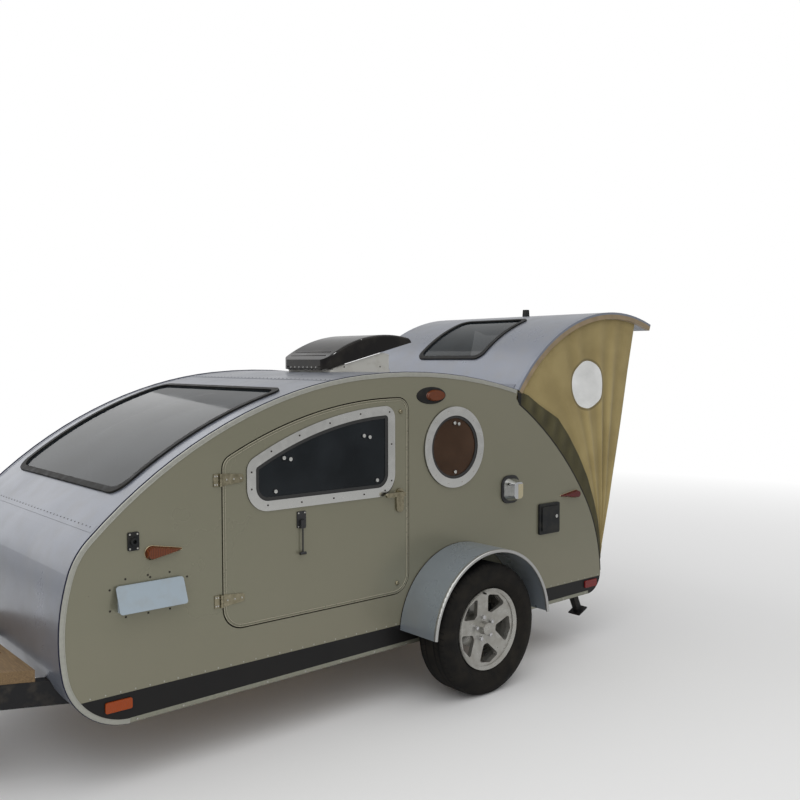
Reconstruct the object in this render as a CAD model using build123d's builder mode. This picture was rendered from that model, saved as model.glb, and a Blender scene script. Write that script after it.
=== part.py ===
from build123d import *
from math import atan2, cos, degrees, radians, sin
import os

# Teardrop camping trailer. Millimetres, X forward, Y to the left, Z up, ground at Z = 0.
# Places along the body are measured from the wheel axle, which lies at X = AXLE_X.
os.makedirs("parts", exist_ok=True)

# Body
BODY_WIDTH = 1460
WALL = 32
SEAT = 0.3
SWING_GAP = 6
OUTLINE_START = (1829, 264)
OUTLINE_WAY = 2.6
# The outline runs from the nose's foot over the roof: radius of each arc, degrees that it turns
OUTLINE_ARCS = ((279, 77.8), (851, 26.9), (302, 28.2), (2191, 39.5), (3180, 19.9))
# The painted wall's rear edge, from under the hatch hinge down to the bottom
EDGE_START = (-461, 1468)
EDGE_WAY = 212.4
EDGE_ARCS = ((1975, 24.1), (939, 30.4), (121, 92.3))
LIP_STEP = 8
SEAM_GAP = 1
RAIL_NOTCH = 3
NOSE_SEAM_WAY = 136.4
ROOF_SEAM_WAY = 171

# Hatch
HATCH_RADIUS = 1075
HATCH_TURN = 75.5
HATCH_THICK = 40
HATCH_OPEN = 70
HATCH_RIM_WIDTH = 26

# Windshield and skylight
SCREEN_LOW_WAY = 141.3
SCREEN_HIGH_WAY = 165.6
SCREEN_WIDTH = 1220
SCREEN_CORNER = 80
GASKET = 28
GASKET_PROUD = 9
GLASS_THICK = 5
SKYLIGHT_FROM = 226
SKYLIGHT_LENGTH = 527
SKYLIGHT_WIDTH = 580
SKYLIGHT_CORNER = 60

# Doors
DOOR_FRONT = 1402
DOOR_REAR = 356
DOOR_BOTTOM = 553
DOOR_FRONT_TOP = 1284
DOOR_REAR_TOP = 1521
DOOR_TOP_MID = (992, 1449)
DOOR_FOOT_CORNER = 95
DOOR_HEAD_CORNER = 62
WINDOW_FRONT = 1285
WINDOW_REAR = 445
WINDOW_BOTTOM = 1046
WINDOW_FRONT_TOP = 1268
WINDOW_REAR_TOP = 1489
WINDOW_TOP_MID = (1003, 1396)
WINDOW_TRIM = 45
WINDOW_PROUD = 6
WINDOW_RUBBER = 16
DOOR_HINGE_X = 1414
DOOR_HINGE_OFF = 9
DOOR_HINGE_HEIGHTS = (684, 1204)
DOOR_HINGE_TALL = 54
DOOR_PIN = 3
PIN_GAP = 0.3
KNUCKLE = 7
LEAF = 4
LEAF_END = 1447
STRAP_END = 1301
HANDLE_AT = (415, 1018)
STRAP_TIP = 34
HOLDER_AT = (1001, 988)
HOLDER_WIDE = 48
HOLDER_TALL = 76
HOLDER_THICK = 5
HOLDER_FOOT_Z = 835
CATCH_AT = (1806, 993)
CATCH_WIDE = 48
CATCH_TALL = 74
CATCH_THICK = 6
CATCH_OUT = 14

# Porthole, lamps and fittings on the walls
PORTHOLE_AT = (38, 1258)
PORTHOLE_RADIUS = 212
PORTHOLE_SIGHT = 165
PORTHOLE_PROUD = 10
PORTHOLE_RUBBER = 14
PORCH_AT = (-388, 997)
PORT_AT = (-714, 799)
PORT_SIDE = 176
HOOD_AT = (1740, 770)
HOOD_LONG = 290
HOOD_TALL = 104
HOOD_DEEP = 52

# Roof vent
VENT_AT = 240
VENT_HOLE = 356
VENT_FLANGE = 30
VENT_FLANGE_TALL = 12
VENT_CHEEK = 5
VENT_TILT = 14
VENT_WALL = 4
# The lid's side outline, measured back and up from its hinge pin when it is shut
VENT_LID_NOSE = -20
VENT_LID_BROW = (-12, 50)
VENT_LID_CROWN = (280, 104)
VENT_LID_TAIL = (588, 30)
VENT_LID_END = 598
VENT_LID_ROUND = 16
VENT_LID_CORNER = 60

# Running gear
WHEEL_RADIUS = 337
TYRE_CLEAR = 33.5
TYRE_WIDTH = 205
RIM_RADIUS = 208
RIM_WIDTH = 165
RIM_BORE = 191
SPOKES = 5
SPOKE_FROM = 46
FENDER_RADIUS = 416
FENDER_THICK = 4
FENDER_REACH = 261
FENDER_BEAD = 9
FENDER_FROM = 4
HUB_RADIUS = 62
SPINDLE_RADIUS = 20
SPINDLE_FIT = 0.05
BEAM_X = 150
BEAM_Z = 288
BEAM_SIDE = 62

# Frame and tongue
RAIL_TOP = 440
RAIL_TALL = 100
RAIL_WIDE = 50
RAIL_INSET = 138
RAIL_FRONT = 1880
RAIL_REAR = -1060
TONGUE_INSET = 123
TONGUE_END_X = 3100
TONGUE_END_Y = 52
COUPLER_NOSE = 3330
COUPLER_WIDE = 154
COUPLER_TALL = 78
FLOOR_THICK = 18
BALL_SOCKET = 26
SOCKET_DEEP = 30
SOCKET_X = 3288
DECK_FRONT = 2700
DECK_REAR = 2125
DECK_THICK = 48
DECK_BOARDS = 4
JACK_X = 2960
JACK_RADIUS = 28
JACK_WALL = 3
JACK_TUBE_LOW = 300
JACK_TUBE_TOP = 800
JACK_LEG_RADIUS = 24
JACK_LEG_TOP = 570
JACK_FOOT = 130
JACK_FOOT_THICK = 10
STABILISER_X = -1040
STABILISER_INSET = 58
STABILISER_PIVOT_Z = 306
STABILISER_LONG = 146
STABILISER_LEAN = 25
STABILISER_TUBE = 38

# Cabin and galley
BULKHEAD_X = -400
BULKHEAD_THICK = 18
COUNTER_Z = 900
COUNTER_REAR = -1085
SHELF_Z = 1190
SHELF_REAR = -660
SHELF_TALL = 150
BOARD = 18
MATTRESS_THICK = 100
MATTRESS_REAR = -380
MATTRESS_FRONT = 1560

HALF = BODY_WIDTH / 2
INNER = HALF - WALL
WHEEL_Y = HALF + TYRE_CLEAR + TYRE_WIDTH / 2
RAIL_Y = INNER - RAIL_INSET
TONGUE_ROOT_Y = INNER - TONGUE_INSET
STABILISER_Y = INNER - STABILISER_INSET


def aside(way):
    """Return the unit vector 90 degrees to the left of a direction in the side view."""
    return Vector(-sin(radians(way)), cos(radians(way)))


def chain_point(start, begin, arcs, way, inset=0):
    """Return the point of a chain of arcs where it runs in direction way, set inward by inset."""
    at = Vector(*start)
    for radius, turn in arcs:
        centre = at + aside(begin) * radius
        end = begin + turn
        if way <= end + 0.001:
            return centre - aside(way) * (radius - inset)
        at = centre - aside(end) * radius
        begin = end
    return at + aside(end) * inset


def skin_point(way, inset=0):
    """Return the outline's point where it runs in direction way, set inward by inset."""
    return chain_point(OUTLINE_START, OUTLINE_WAY, OUTLINE_ARCS, way, inset)


RAIL_LOW = RAIL_TOP - RAIL_TALL
FRONT_BEAM_X = RAIL_FRONT + RAIL_WIDE / 2 + SEAT
TONGUE_ROOT_X = FRONT_BEAM_X + RAIL_WIDE / 2 + SEAT
ROOF_END_WAY = OUTLINE_WAY + sum(turn for radius, turn in OUTLINE_ARCS)
HINGE_AT = skin_point(ROOF_END_WAY)
HATCH_WAY = ROOF_END_WAY - HATCH_OPEN
HATCH_SHUT_CENTRE = HINGE_AT + aside(ROOF_END_WAY) * HATCH_RADIUS
HATCH_CENTRE = HINGE_AT + aside(HATCH_WAY) * HATCH_RADIUS
HATCH_TIP = HATCH_CENTRE - aside(HATCH_WAY + HATCH_TURN) * HATCH_RADIUS
AXLE_X = -(COUPLER_NOSE + HATCH_TIP.X) / 2


def side(y):
    """Return the plane of a side view at y: its x runs forward from the axle, its y runs up."""
    return Plane(origin=(AXLE_X, y, 0), x_dir=(1, 0, 0), z_dir=(0, -1, 0))


def level(z):
    """Return the level plane at height z, with its origin over the axle."""
    return Plane(origin=(AXLE_X, 0, z))


def arc_chain(start, way, arcs):
    """Draw a chain of tangent arcs and return its far end."""
    at = Vector(*start) if isinstance(start, tuple) else start
    for radius, turn in arcs:
        tangent = (cos(radians(way)), sin(radians(way)))
        at = JernArc(start=at, tangent=tangent, radius=radius, arc_size=turn) @ 1
        way += turn
    return at


def strip(start, way, arcs, outer, inner):
    """Draw a band that follows a chain of arcs, from outer to inner measured inward."""
    at = Vector(*start) if isinstance(start, tuple) else start
    first = at + aside(way) * outer
    second = at + aside(way) * inner
    far_outer = arc_chain(first, way, [(radius - outer, turn) for radius, turn in arcs])
    far_inner = arc_chain(second, way, [(radius - inner, turn) for radius, turn in arcs])
    Line(first, second)
    Line(far_outer, far_inner)


def across(way, inset=0):
    """Return the plane that stands across the skin where it runs in direction way."""
    at = skin_point(way, inset)
    return Plane(
        origin=(AXLE_X + at.X, 0, at.Y),
        x_dir=(0, 1, 0),
        z_dir=(cos(radians(way)), 0, sin(radians(way))),
    )


def facing(low, high):
    """Return the plane on the chord between two points of a side view, looking outward."""
    chord = high - low
    middle = (low + high) * 0.5
    return Plane(
        origin=(AXLE_X + middle.X, 0, middle.Y),
        x_dir=(0, 1, 0),
        z_dir=(chord.Y, 0, -chord.X),
    )


def tongue_face(grow):
    """Draw the two tongue rails in plan, grown all round by grow."""
    with BuildSketch(mode=Mode.PRIVATE) as face:
        middle_x = (TONGUE_ROOT_X + TONGUE_END_X) / 2
        for sign in (1, -1):
            run = Vector(TONGUE_END_X - TONGUE_ROOT_X, sign * (TONGUE_END_Y - TONGUE_ROOT_Y))
            angle = degrees(atan2(run.Y, run.X))
            with Locations(Location((middle_x, sign * (TONGUE_ROOT_Y + TONGUE_END_Y) / 2), angle)):
                Rectangle(run.length + 4 * RAIL_WIDE, RAIL_WIDE)
        with Locations((middle_x, 0)):
            Rectangle(TONGUE_END_X - TONGUE_ROOT_X, 2 * INNER, mode=Mode.INTERSECT)
            Rectangle(TONGUE_END_X - TONGUE_ROOT_X, 2, mode=Mode.SUBTRACT)
        if grow:
            offset(amount=grow)
    return face.sketch


def save(part, name):
    """Label a finished piece and write it to its own file."""
    part.label = name
    export_step(part, f"parts/{name}.step")


def door_face(grow):
    """Draw the door's outline, grown all round by grow."""
    with BuildSketch(mode=Mode.PRIVATE) as face:
        with BuildLine():
            foot = Polyline(
                (DOOR_REAR, DOOR_REAR_TOP),
                (DOOR_REAR, DOOR_BOTTOM),
                (DOOR_FRONT, DOOR_BOTTOM),
                (DOOR_FRONT, DOOR_FRONT_TOP),
            )
            ThreePointArc(foot @ 0, DOOR_TOP_MID, foot @ 1)
        make_face()
        low = face.vertices().group_by(Axis.Y)[0]
        fillet(low, DOOR_FOOT_CORNER)
        high = face.vertices().filter_by(lambda v: v.Y > DOOR_FRONT_TOP - 1)
        fillet(high, DOOR_HEAD_CORNER)
        if grow:
            offset(amount=grow)
    return face.sketch


def window_face(grow):
    """Draw the outline of the door window's trim, grown all round by grow."""
    with BuildSketch(mode=Mode.PRIVATE) as face:
        with BuildLine():
            foot = Polyline(
                (WINDOW_REAR, WINDOW_REAR_TOP),
                (WINDOW_REAR, WINDOW_BOTTOM),
                (WINDOW_FRONT, WINDOW_BOTTOM),
                (WINDOW_FRONT, WINDOW_FRONT_TOP),
            )
            ThreePointArc(foot @ 0, WINDOW_TOP_MID, foot @ 1)
        make_face()
        corner = face.vertices().sort_by(Axis.Y)
        fillet(corner[0:2], 110)
        fillet(face.vertices().filter_by(lambda v: v.Y > WINDOW_FRONT_TOP - 1), 62)
        if grow:
            offset(amount=grow)
    return face.sketch


def wall_face():
    """Draw a side wall's outline, with its rear edge cut back from the shut hatch."""
    with BuildSketch(mode=Mode.PRIVATE) as face:
        with BuildLine():
            roof_end = arc_chain(OUTLINE_START, OUTLINE_WAY, OUTLINE_ARCS)
            step = roof_end + aside(ROOF_END_WAY) * (HATCH_THICK + SWING_GAP)
            Polyline(roof_end, step, EDGE_START)
            foot_end = arc_chain(EDGE_START, EDGE_WAY, EDGE_ARCS)
            Line(foot_end, OUTLINE_START)
        make_face()
    return face.sketch


# Side walls: sandwich panels with a painted outer face and a stepped lip that the shut hatch
# closes over. Each has its door opening, a porthole and a cut for the axle's trailing arm.
LIP_RADIUS = HATCH_RADIUS - HATCH_THICK - SWING_GAP
ARM_CUT_LONG = 360
ARM_CUT_TOP = 415
ARM_CUT_CORNER = 60
PORTHOLE_REBATE = 8
with BuildPart() as side_walls:
    for sign in (1, -1):
        with BuildSketch(side(sign * HALF)):
            add(wall_face())
        extrude(amount=sign * WALL)
        with BuildSketch(side(sign * (HALF - LIP_STEP))):
            with Locations(HATCH_SHUT_CENTRE):
                Circle(LIP_RADIUS)
            with Locations((HINGE_AT.X - SWING_GAP, HATCH_SHUT_CENTRE.Y)):
                Rectangle(
                    HATCH_RADIUS, HATCH_RADIUS, align=(Align.MAX, Align.MIN), mode=Mode.INTERSECT
                )
        extrude(amount=sign * (WALL - LIP_STEP))
        with BuildSketch(side(sign * (HALF + 1))):
            add(door_face(SWING_GAP))
            with Locations(PORTHOLE_AT):
                Circle(PORTHOLE_SIGHT + PORTHOLE_REBATE)
            with Locations((BEAM_X / 2 - 20, ARM_CUT_TOP - ARM_CUT_LONG / 2)):
                RectangleRounded(ARM_CUT_LONG, ARM_CUT_LONG, ARM_CUT_CORNER)
        extrude(amount=sign * (WALL + 2), mode=Mode.SUBTRACT)
save(side_walls.part, "side_walls")

# Roof and front: three bent sandwich panels between the walls, with a seam between each two
SKIN_CUTS = (
    ("nose_panel", None, NOSE_SEAM_WAY),
    ("front_panel", NOSE_SEAM_WAY, ROOF_SEAM_WAY),
    ("roof_panel", ROOF_SEAM_WAY, None),
)
SCREEN_LOW = skin_point(SCREEN_LOW_WAY)
SCREEN_HIGH = skin_point(SCREEN_HIGH_WAY)
SCREEN_LONG = (SCREEN_HIGH - SCREEN_LOW).length
SCREEN_PLANE = facing(SCREEN_LOW, SCREEN_HIGH)
ROOF_Z = skin_point(180).Y
for name, from_way, to_way in SKIN_CUTS:
    with BuildPart() as panel:
        with BuildSketch(side(INNER - SEAT)):
            with BuildLine():
                strip(OUTLINE_START, OUTLINE_WAY, OUTLINE_ARCS, 0, WALL)
            make_face()
        extrude(amount=2 * (INNER - SEAT))
        if from_way is not None:
            split(bisect_by=across(from_way).offset(SEAM_GAP / 2), keep=Keep.TOP)
        if to_way is not None:
            split(bisect_by=across(to_way).offset(-SEAM_GAP / 2), keep=Keep.BOTTOM)
        else:
            split(bisect_by=across(ROOF_END_WAY).offset(-SWING_GAP), keep=Keep.BOTTOM)
        if name == "nose_panel":
            with BuildSketch(level(RAIL_LOW - RAIL_NOTCH)):
                add(tongue_face(RAIL_NOTCH))
            extrude(amount=RAIL_TALL + 2 * RAIL_NOTCH, mode=Mode.SUBTRACT)
        if name == "front_panel":
            with BuildSketch(SCREEN_PLANE):
                RectangleRounded(SCREEN_WIDTH - GASKET, SCREEN_LONG - GASKET, SCREEN_CORNER)
            extrude(amount=SCREEN_LONG, both=True, mode=Mode.SUBTRACT)
        if name == "roof_panel":
            with BuildSketch(level(ROOF_Z)):
                with Locations((VENT_AT, 0)):
                    Rectangle(VENT_HOLE, VENT_HOLE)
            extrude(amount=VENT_HOLE, both=True, mode=Mode.SUBTRACT)
    save(panel.part, name)

# Windshield: bonded tinted glass in a rubber gasket
with BuildPart() as windshield_glass:
    with BuildSketch(side(SCREEN_WIDTH / 2)):
        with BuildLine():
            strip(OUTLINE_START, OUTLINE_WAY, OUTLINE_ARCS, 0, GLASS_THICK)
        make_face()
    extrude(amount=SCREEN_WIDTH)
    with BuildSketch(SCREEN_PLANE):
        RectangleRounded(
            SCREEN_WIDTH - GASKET - 2 * SEAT, SCREEN_LONG - GASKET - 2 * SEAT, SCREEN_CORNER - SEAT
        )
    extrude(amount=SCREEN_LONG, both=True, mode=Mode.INTERSECT)
save(windshield_glass.part, "windshield_glass")

with BuildPart() as windshield_gasket:
    with BuildSketch(side(SCREEN_WIDTH / 2)):
        with BuildLine():
            strip(OUTLINE_START, OUTLINE_WAY, OUTLINE_ARCS, -GASKET_PROUD, -SEAT)
        make_face()
    extrude(amount=SCREEN_WIDTH)
    with BuildSketch(SCREEN_PLANE):
        RectangleRounded(SCREEN_WIDTH, SCREEN_LONG, SCREEN_CORNER)
        RectangleRounded(
            SCREEN_WIDTH - 2 * GASKET,
            SCREEN_LONG - 2 * GASKET,
            SCREEN_CORNER - GASKET / 2,
            mode=Mode.SUBTRACT,
        )
    extrude(amount=SCREEN_LONG, both=True, mode=Mode.INTERSECT)
save(windshield_gasket.part, "windshield_gasket")

# Rear lower panel: closes the body between the walls under the galley
REAR_PANEL_TOP = 492
with BuildPart() as rear_panel:
    with BuildSketch(side(INNER - SEAT)):
        with BuildLine():
            strip(EDGE_START, EDGE_WAY, EDGE_ARCS, 0, WALL)
        make_face()
        with Locations((EDGE_START[0], REAR_PANEL_TOP)):
            Rectangle(
                BODY_WIDTH, REAR_PANEL_TOP, align=(Align.MAX, Align.MAX), mode=Mode.INTERSECT
            )
    extrude(amount=2 * (INNER - SEAT))
save(rear_panel.part, "rear_panel")

# Floor deck: a ply board on the frame, from the nose to the rear panel
FLOOR_Z = RAIL_TOP + SEAT
FLOOR_FRONT = 2030
FLOOR_REAR = -1160
with BuildPart() as floor_deck:
    with BuildSketch(level(FLOOR_Z)):
        with Locations(((FLOOR_FRONT + FLOOR_REAR) / 2, 0)):
            Rectangle(FLOOR_FRONT - FLOOR_REAR, 2 * (INNER - SEAT))
    extrude(amount=FLOOR_THICK)
save(floor_deck.part, "floor_deck")

# Frame: two long rails, cross members between them, a front beam across their ends, and an
# outrigger at each rear corner for the stabiliser
CROSS_XS = (1280, 520, -240, -1035)
with BuildPart() as chassis_rails:
    with BuildSketch(level(RAIL_LOW)):
        for sign in (1, -1):
            with Locations(((RAIL_FRONT + RAIL_REAR) / 2, sign * RAIL_Y)):
                Rectangle(RAIL_FRONT - RAIL_REAR, RAIL_WIDE)
    extrude(amount=RAIL_TALL)
save(chassis_rails.part, "chassis_rails")

with BuildPart() as chassis_crossmembers:
    with BuildSketch(level(RAIL_TOP - RAIL_WIDE)):
        for x in CROSS_XS:
            with Locations((x, 0)):
                Rectangle(RAIL_WIDE, 2 * RAIL_Y - RAIL_WIDE - 2 * SEAT)
    extrude(amount=RAIL_WIDE)
    with BuildSketch(level(RAIL_LOW)):
        with Locations((FRONT_BEAM_X, 0)):
            Rectangle(RAIL_WIDE, 2 * (INNER - 2))
        for sign in (1, -1):
            outrigger_in = RAIL_Y + RAIL_WIDE / 2 + SEAT
            with Locations((STABILISER_X, sign * (outrigger_in + INNER - 2) / 2)):
                Rectangle(RAIL_WIDE, INNER - 2 - outrigger_in)
    extrude(amount=RAIL_TALL)
save(chassis_crossmembers.part, "chassis_crossmembers")

# Tongue: two rails that run forward from the front beam, through the nose, to the coupler
with BuildPart() as tongue_rails:
    with BuildSketch(level(RAIL_LOW)):
        add(tongue_face(0))
    extrude(amount=RAIL_TALL)
save(tongue_rails.part, "tongue_rails")

# Tongue deck: boards laid across the rails, their ends sawn along the rails' outer sides
BOARD_GAP = 6
BOARD_PITCH = (DECK_FRONT - DECK_REAR + BOARD_GAP) / DECK_BOARDS
TONGUE_SLOPE = (TONGUE_ROOT_Y - TONGUE_END_Y) / (TONGUE_END_X - TONGUE_ROOT_X)
with BuildPart() as tongue_deck:
    with BuildSketch(level(RAIL_TOP + SEAT)):
        for row in range(DECK_BOARDS):
            rear_x = DECK_REAR + row * BOARD_PITCH
            front_x = rear_x + BOARD_PITCH - BOARD_GAP
            rear_y = TONGUE_ROOT_Y + RAIL_WIDE / 2 - TONGUE_SLOPE * (rear_x - TONGUE_ROOT_X)
            front_y = TONGUE_ROOT_Y + RAIL_WIDE / 2 - TONGUE_SLOPE * (front_x - TONGUE_ROOT_X)
            Polygon(
                (rear_x, -rear_y), (front_x, -front_y), (front_x, front_y), (rear_x, rear_y), align=None
            )
    extrude(amount=DECK_THICK)
save(tongue_deck.part, "tongue_deck")

# Coupler: a pressed nose with a ball socket beneath it, and a plate that lies on the rails
COUPLER_LOW = RAIL_TOP - COUPLER_TALL
with BuildPart() as coupler:
    with BuildSketch(level(COUPLER_LOW)):
        with Locations((SOCKET_X, 0)):
            Circle(COUPLER_NOSE - SOCKET_X)
        with Locations((TONGUE_END_X + SEAT, 0)):
            Rectangle(20, COUPLER_WIDE, align=(Align.MIN, Align.CENTER))
        make_hull()
    extrude(amount=COUPLER_TALL)
    fillet(coupler.edges().group_by(Axis.Z)[-1], 14)
    with BuildSketch(level(RAIL_TOP + SEAT)):
        with Locations((TONGUE_END_X + 40, 0)):
            Rectangle(118, COUPLER_WIDE, align=(Align.MAX, Align.CENTER))
    extrude(amount=6)
    with BuildSketch(level(RAIL_TOP - 4)):
        with Locations((TONGUE_END_X + 70, 0)):
            Rectangle(110, 34)
    extrude(amount=46)
    with BuildSketch(level(COUPLER_LOW)):
        with Locations((SOCKET_X, 0)):
            Circle(BALL_SOCKET)
    extrude(amount=SOCKET_DEEP, mode=Mode.SUBTRACT)
save(coupler.part, "coupler")

# Jack: an outer tube in a plate on the rails, with its crank, and the leg that slides in it
JACK_PLATE = 8
CRANK_WIDE = 24
CRANK_RISE = 30
CRANK_LONG = 130
CRANK_THICK = 8
CRANK_GRIP = 75
with BuildPart() as jack_tube:
    with BuildSketch(level(JACK_TUBE_LOW)):
        with Locations((JACK_X, 0)):
            Circle(JACK_RADIUS)
    extrude(amount=JACK_TUBE_TOP - JACK_TUBE_LOW)
    with BuildSketch(level(RAIL_TOP + SEAT)):
        with Locations((JACK_X, 0)):
            Rectangle(110, 230)
    extrude(amount=JACK_PLATE)
    with BuildSketch(level(JACK_TUBE_LOW)):
        with Locations((JACK_X, 0)):
            Circle(JACK_RADIUS - JACK_WALL)
    extrude(amount=JACK_TUBE_TOP - JACK_TUBE_LOW - 8, mode=Mode.SUBTRACT)
    with BuildSketch(level(JACK_TUBE_TOP)):
        with Locations((JACK_X, 0)):
            Circle(CRANK_WIDE / 2)
    extrude(amount=CRANK_RISE)
    with BuildSketch(level(JACK_TUBE_TOP + CRANK_RISE)):
        with Locations((JACK_X - CRANK_LONG / 2, 0)):
            SlotOverall(CRANK_LONG + CRANK_WIDE, CRANK_WIDE)
    extrude(amount=CRANK_THICK)
    with BuildSketch(level(JACK_TUBE_TOP + CRANK_RISE + CRANK_THICK)):
        with Locations((JACK_X - CRANK_LONG, 0)):
            Circle(CRANK_WIDE / 2 - 1)
    extrude(amount=CRANK_GRIP)
save(jack_tube.part, "jack_tube")

with BuildPart() as jack_leg:
    with BuildSketch(level(0)):
        with Locations((JACK_X, 0)):
            RectangleRounded(JACK_FOOT, JACK_FOOT, 18)
    extrude(amount=JACK_FOOT_THICK)
    with BuildSketch(level(JACK_FOOT_THICK)):
        with Locations((JACK_X, 0)):
            Circle(JACK_LEG_RADIUS)
            Circle(JACK_LEG_RADIUS - JACK_WALL, mode=Mode.SUBTRACT)
    extrude(amount=JACK_LEG_TOP - JACK_FOOT_THICK)
save(jack_leg.part, "jack_leg")

# Axle: a square beam in two rail brackets, with trailing arms, brake plates and stub spindles
ARM_IN = INNER + 4
ARM_THICK = WALL - 2
PLATE_RADIUS = 120
with BuildPart() as axle:
    with BuildSketch(side(ARM_IN)):
        with Locations((BEAM_X, BEAM_Z)):
            RectangleRounded(BEAM_SIDE, BEAM_SIDE, 8)
    extrude(amount=2 * ARM_IN)
    for sign in (1, -1):
        with BuildSketch(level(BEAM_Z)):
            with Locations((BEAM_X, sign * RAIL_Y)):
                Rectangle(2.4 * BEAM_SIDE, RAIL_WIDE)
        extrude(amount=RAIL_LOW - SEAT - BEAM_Z)
        with BuildSketch(side(sign * (ARM_IN + ARM_THICK))):
            with Locations((BEAM_X, BEAM_Z)):
                Circle(34)
            with Locations((0, WHEEL_RADIUS)):
                Circle(30)
            make_hull()
        extrude(amount=sign * ARM_THICK)
        with BuildSketch(side(sign * (ARM_IN + ARM_THICK))):
            with Locations((0, WHEEL_RADIUS)):
                Circle(PLATE_RADIUS)
        extrude(amount=-sign * 5)
        with BuildSketch(side(sign * (ARM_IN + ARM_THICK))):
            with Locations((0, WHEEL_RADIUS)):
                Circle(SPINDLE_RADIUS)
        extrude(amount=-sign * (WHEEL_Y - ARM_IN - ARM_THICK))
save(axle.part, "axle")

# Fenders: rolled sheet arches bolted to the walls, each with a wired bead round its outer edge
FENDER_PLANE = Plane(
    origin=(AXLE_X, 0, WHEEL_RADIUS),
    x_dir=(cos(radians(FENDER_FROM)), 0, sin(radians(FENDER_FROM))),
    z_dir=(-sin(radians(FENDER_FROM)), 0, cos(radians(FENDER_FROM))),
)
with BuildPart() as fenders:
    for sign in (1, -1):
        with BuildSketch(FENDER_PLANE):
            with Locations((FENDER_RADIUS - FENDER_THICK / 2, sign * (HALF + SEAT + FENDER_REACH / 2))):
                Rectangle(FENDER_THICK, FENDER_REACH)
            with Locations((FENDER_RADIUS - FENDER_BEAD, sign * (HALF + SEAT + FENDER_REACH))):
                Circle(FENDER_BEAD)
        wheel_axis = Axis((AXLE_X, 0, WHEEL_RADIUS), (0, -1, 0))
        revolve(axis=wheel_axis, revolution_arc=180 - 2 * FENDER_FROM)
save(fenders.part, "fenders")

# Wheels: a tubeless tyre on a five spoke cast rim, with the hub and drum behind it
TYRE_HALF = TYRE_WIDTH / 2
RIM_HALF = RIM_WIDTH / 2
RIM_SEAT = RIM_BORE + 6
HUB_FACE = 44
CAP_RADIUS = 34
CAP_TALL = 32
DRUM_RADIUS = 112
DRUM_DEEP = TYRE_HALF + 15
FLANGE_THICK = 7
SIDEWALL_RADIUS = 268
SHOULDER = 19
SHOULDER_IN = 12.5
TREAD_IN = 40.5
BEAD_HALF = RIM_HALF - FLANGE_THICK
for side_name, sign in (("left", 1), ("right", -1)):
    centre = (AXLE_X, sign * WHEEL_Y, WHEEL_RADIUS)
    section = Plane(origin=centre, x_dir=(1, 0, 0), z_dir=(0, 0, sign))
    spin = Axis(centre, (0, 1, 0))
    with BuildPart() as tyre:
        with BuildSketch(section):
            with BuildLine():
                bead = Polyline(
                    (WHEEL_RADIUS, 0),
                    (RIM_SEAT + SEAT, 0),
                    (RIM_SEAT + SEAT, SEAT - BEAD_HALF),
                    (RIM_RADIUS + 4, SEAT - BEAD_HALF),
                )
                wall_curve = ThreePointArc(
                    bead @ 1,
                    (SIDEWALL_RADIUS, -TYRE_HALF),
                    (WHEEL_RADIUS - SHOULDER, SHOULDER_IN - TYRE_HALF),
                )
                shoulder = ThreePointArc(
                    wall_curve @ 1,
                    (WHEEL_RADIUS - SHOULDER / 3, 1.8 * SHOULDER_IN - TYRE_HALF),
                    (WHEEL_RADIUS, TREAD_IN - TYRE_HALF),
                )
                Line(shoulder @ 1, bead @ 0)
            make_face()
            mirror(about=Plane.XZ)
            with Locations((RIM_SEAT, 0)):
                Rectangle(120, 130, align=(Align.MIN, Align.CENTER), mode=Mode.SUBTRACT)
        revolve(axis=spin)
    save(tyre.part, f"tyre_{side_name}")

    with BuildPart() as rim:
        with BuildSketch(section):
            with BuildLine():
                Polyline(
                    (RIM_RADIUS, -RIM_HALF),
                    (RIM_RADIUS, -BEAD_HALF),
                    (RIM_SEAT, -BEAD_HALF),
                    (RIM_SEAT, BEAD_HALF),
                    (RIM_RADIUS, BEAD_HALF),
                    (RIM_RADIUS, RIM_HALF),
                    (RIM_BORE, RIM_HALF - 10),
                    (RIM_BORE - 8, 0),
                    (RIM_BORE, -RIM_HALF + 10),
                    close=True,
                )
            make_face()
        revolve(axis=spin)
        with BuildSketch(section):
            with BuildLine():
                Polyline(
                    (0, 28),
                    (HUB_RADIUS, 28),
                    (RIM_BORE + 1, 38),
                    (RIM_BORE + 1, 66),
                    (HUB_RADIUS, HUB_FACE),
                    (CAP_RADIUS, HUB_FACE),
                    (CAP_RADIUS - 4, HUB_FACE + CAP_TALL),
                    (0, HUB_FACE + CAP_TALL),
                    close=True,
                )
            make_face()
        revolve(axis=spin)
        with BuildSketch(side(sign * (WHEEL_Y + 90))):
            with Locations((0, WHEEL_RADIUS)):
                with PolarLocations(0, SPOKES, start_angle=SPOKE_FROM):
                    Polygon((86, -14), (160, -70), (182, 0), (160, 70), (86, 14), align=None)
            fillet(vertices(), 12)
        extrude(amount=sign * 80, mode=Mode.SUBTRACT)
        with BuildSketch(section):
            with BuildLine():
                Polyline(
                    (0, -DRUM_DEEP),
                    (DRUM_RADIUS, -DRUM_DEEP),
                    (DRUM_RADIUS, -40),
                    (HUB_RADIUS, -30),
                    (HUB_RADIUS, 29),
                    (0, 29),
                    close=True,
                )
            make_face()
        revolve(axis=spin)
        with BuildSketch(side(sign * (WHEEL_Y - DRUM_DEEP))):
            with Locations((0, WHEEL_RADIUS)):
                Circle(SPINDLE_RADIUS + SPINDLE_FIT)
        extrude(amount=-sign * (DRUM_DEEP + 4), mode=Mode.SUBTRACT)
    save(rim.part, f"rim_{side_name}")

# Doors: flush panels with a window, its clamp ring and glass, and the hardware on the outer face
STRAP_FRONT = DOOR_HINGE_X - KNUCKLE - 2
LEAF_FRONT = DOOR_HINGE_X + KNUCKLE + 2
KNUCKLE_TALL = DOOR_HINGE_TALL / 3
HOLDER_OUT = 14
HOLDER_ROD = 3.5


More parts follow.
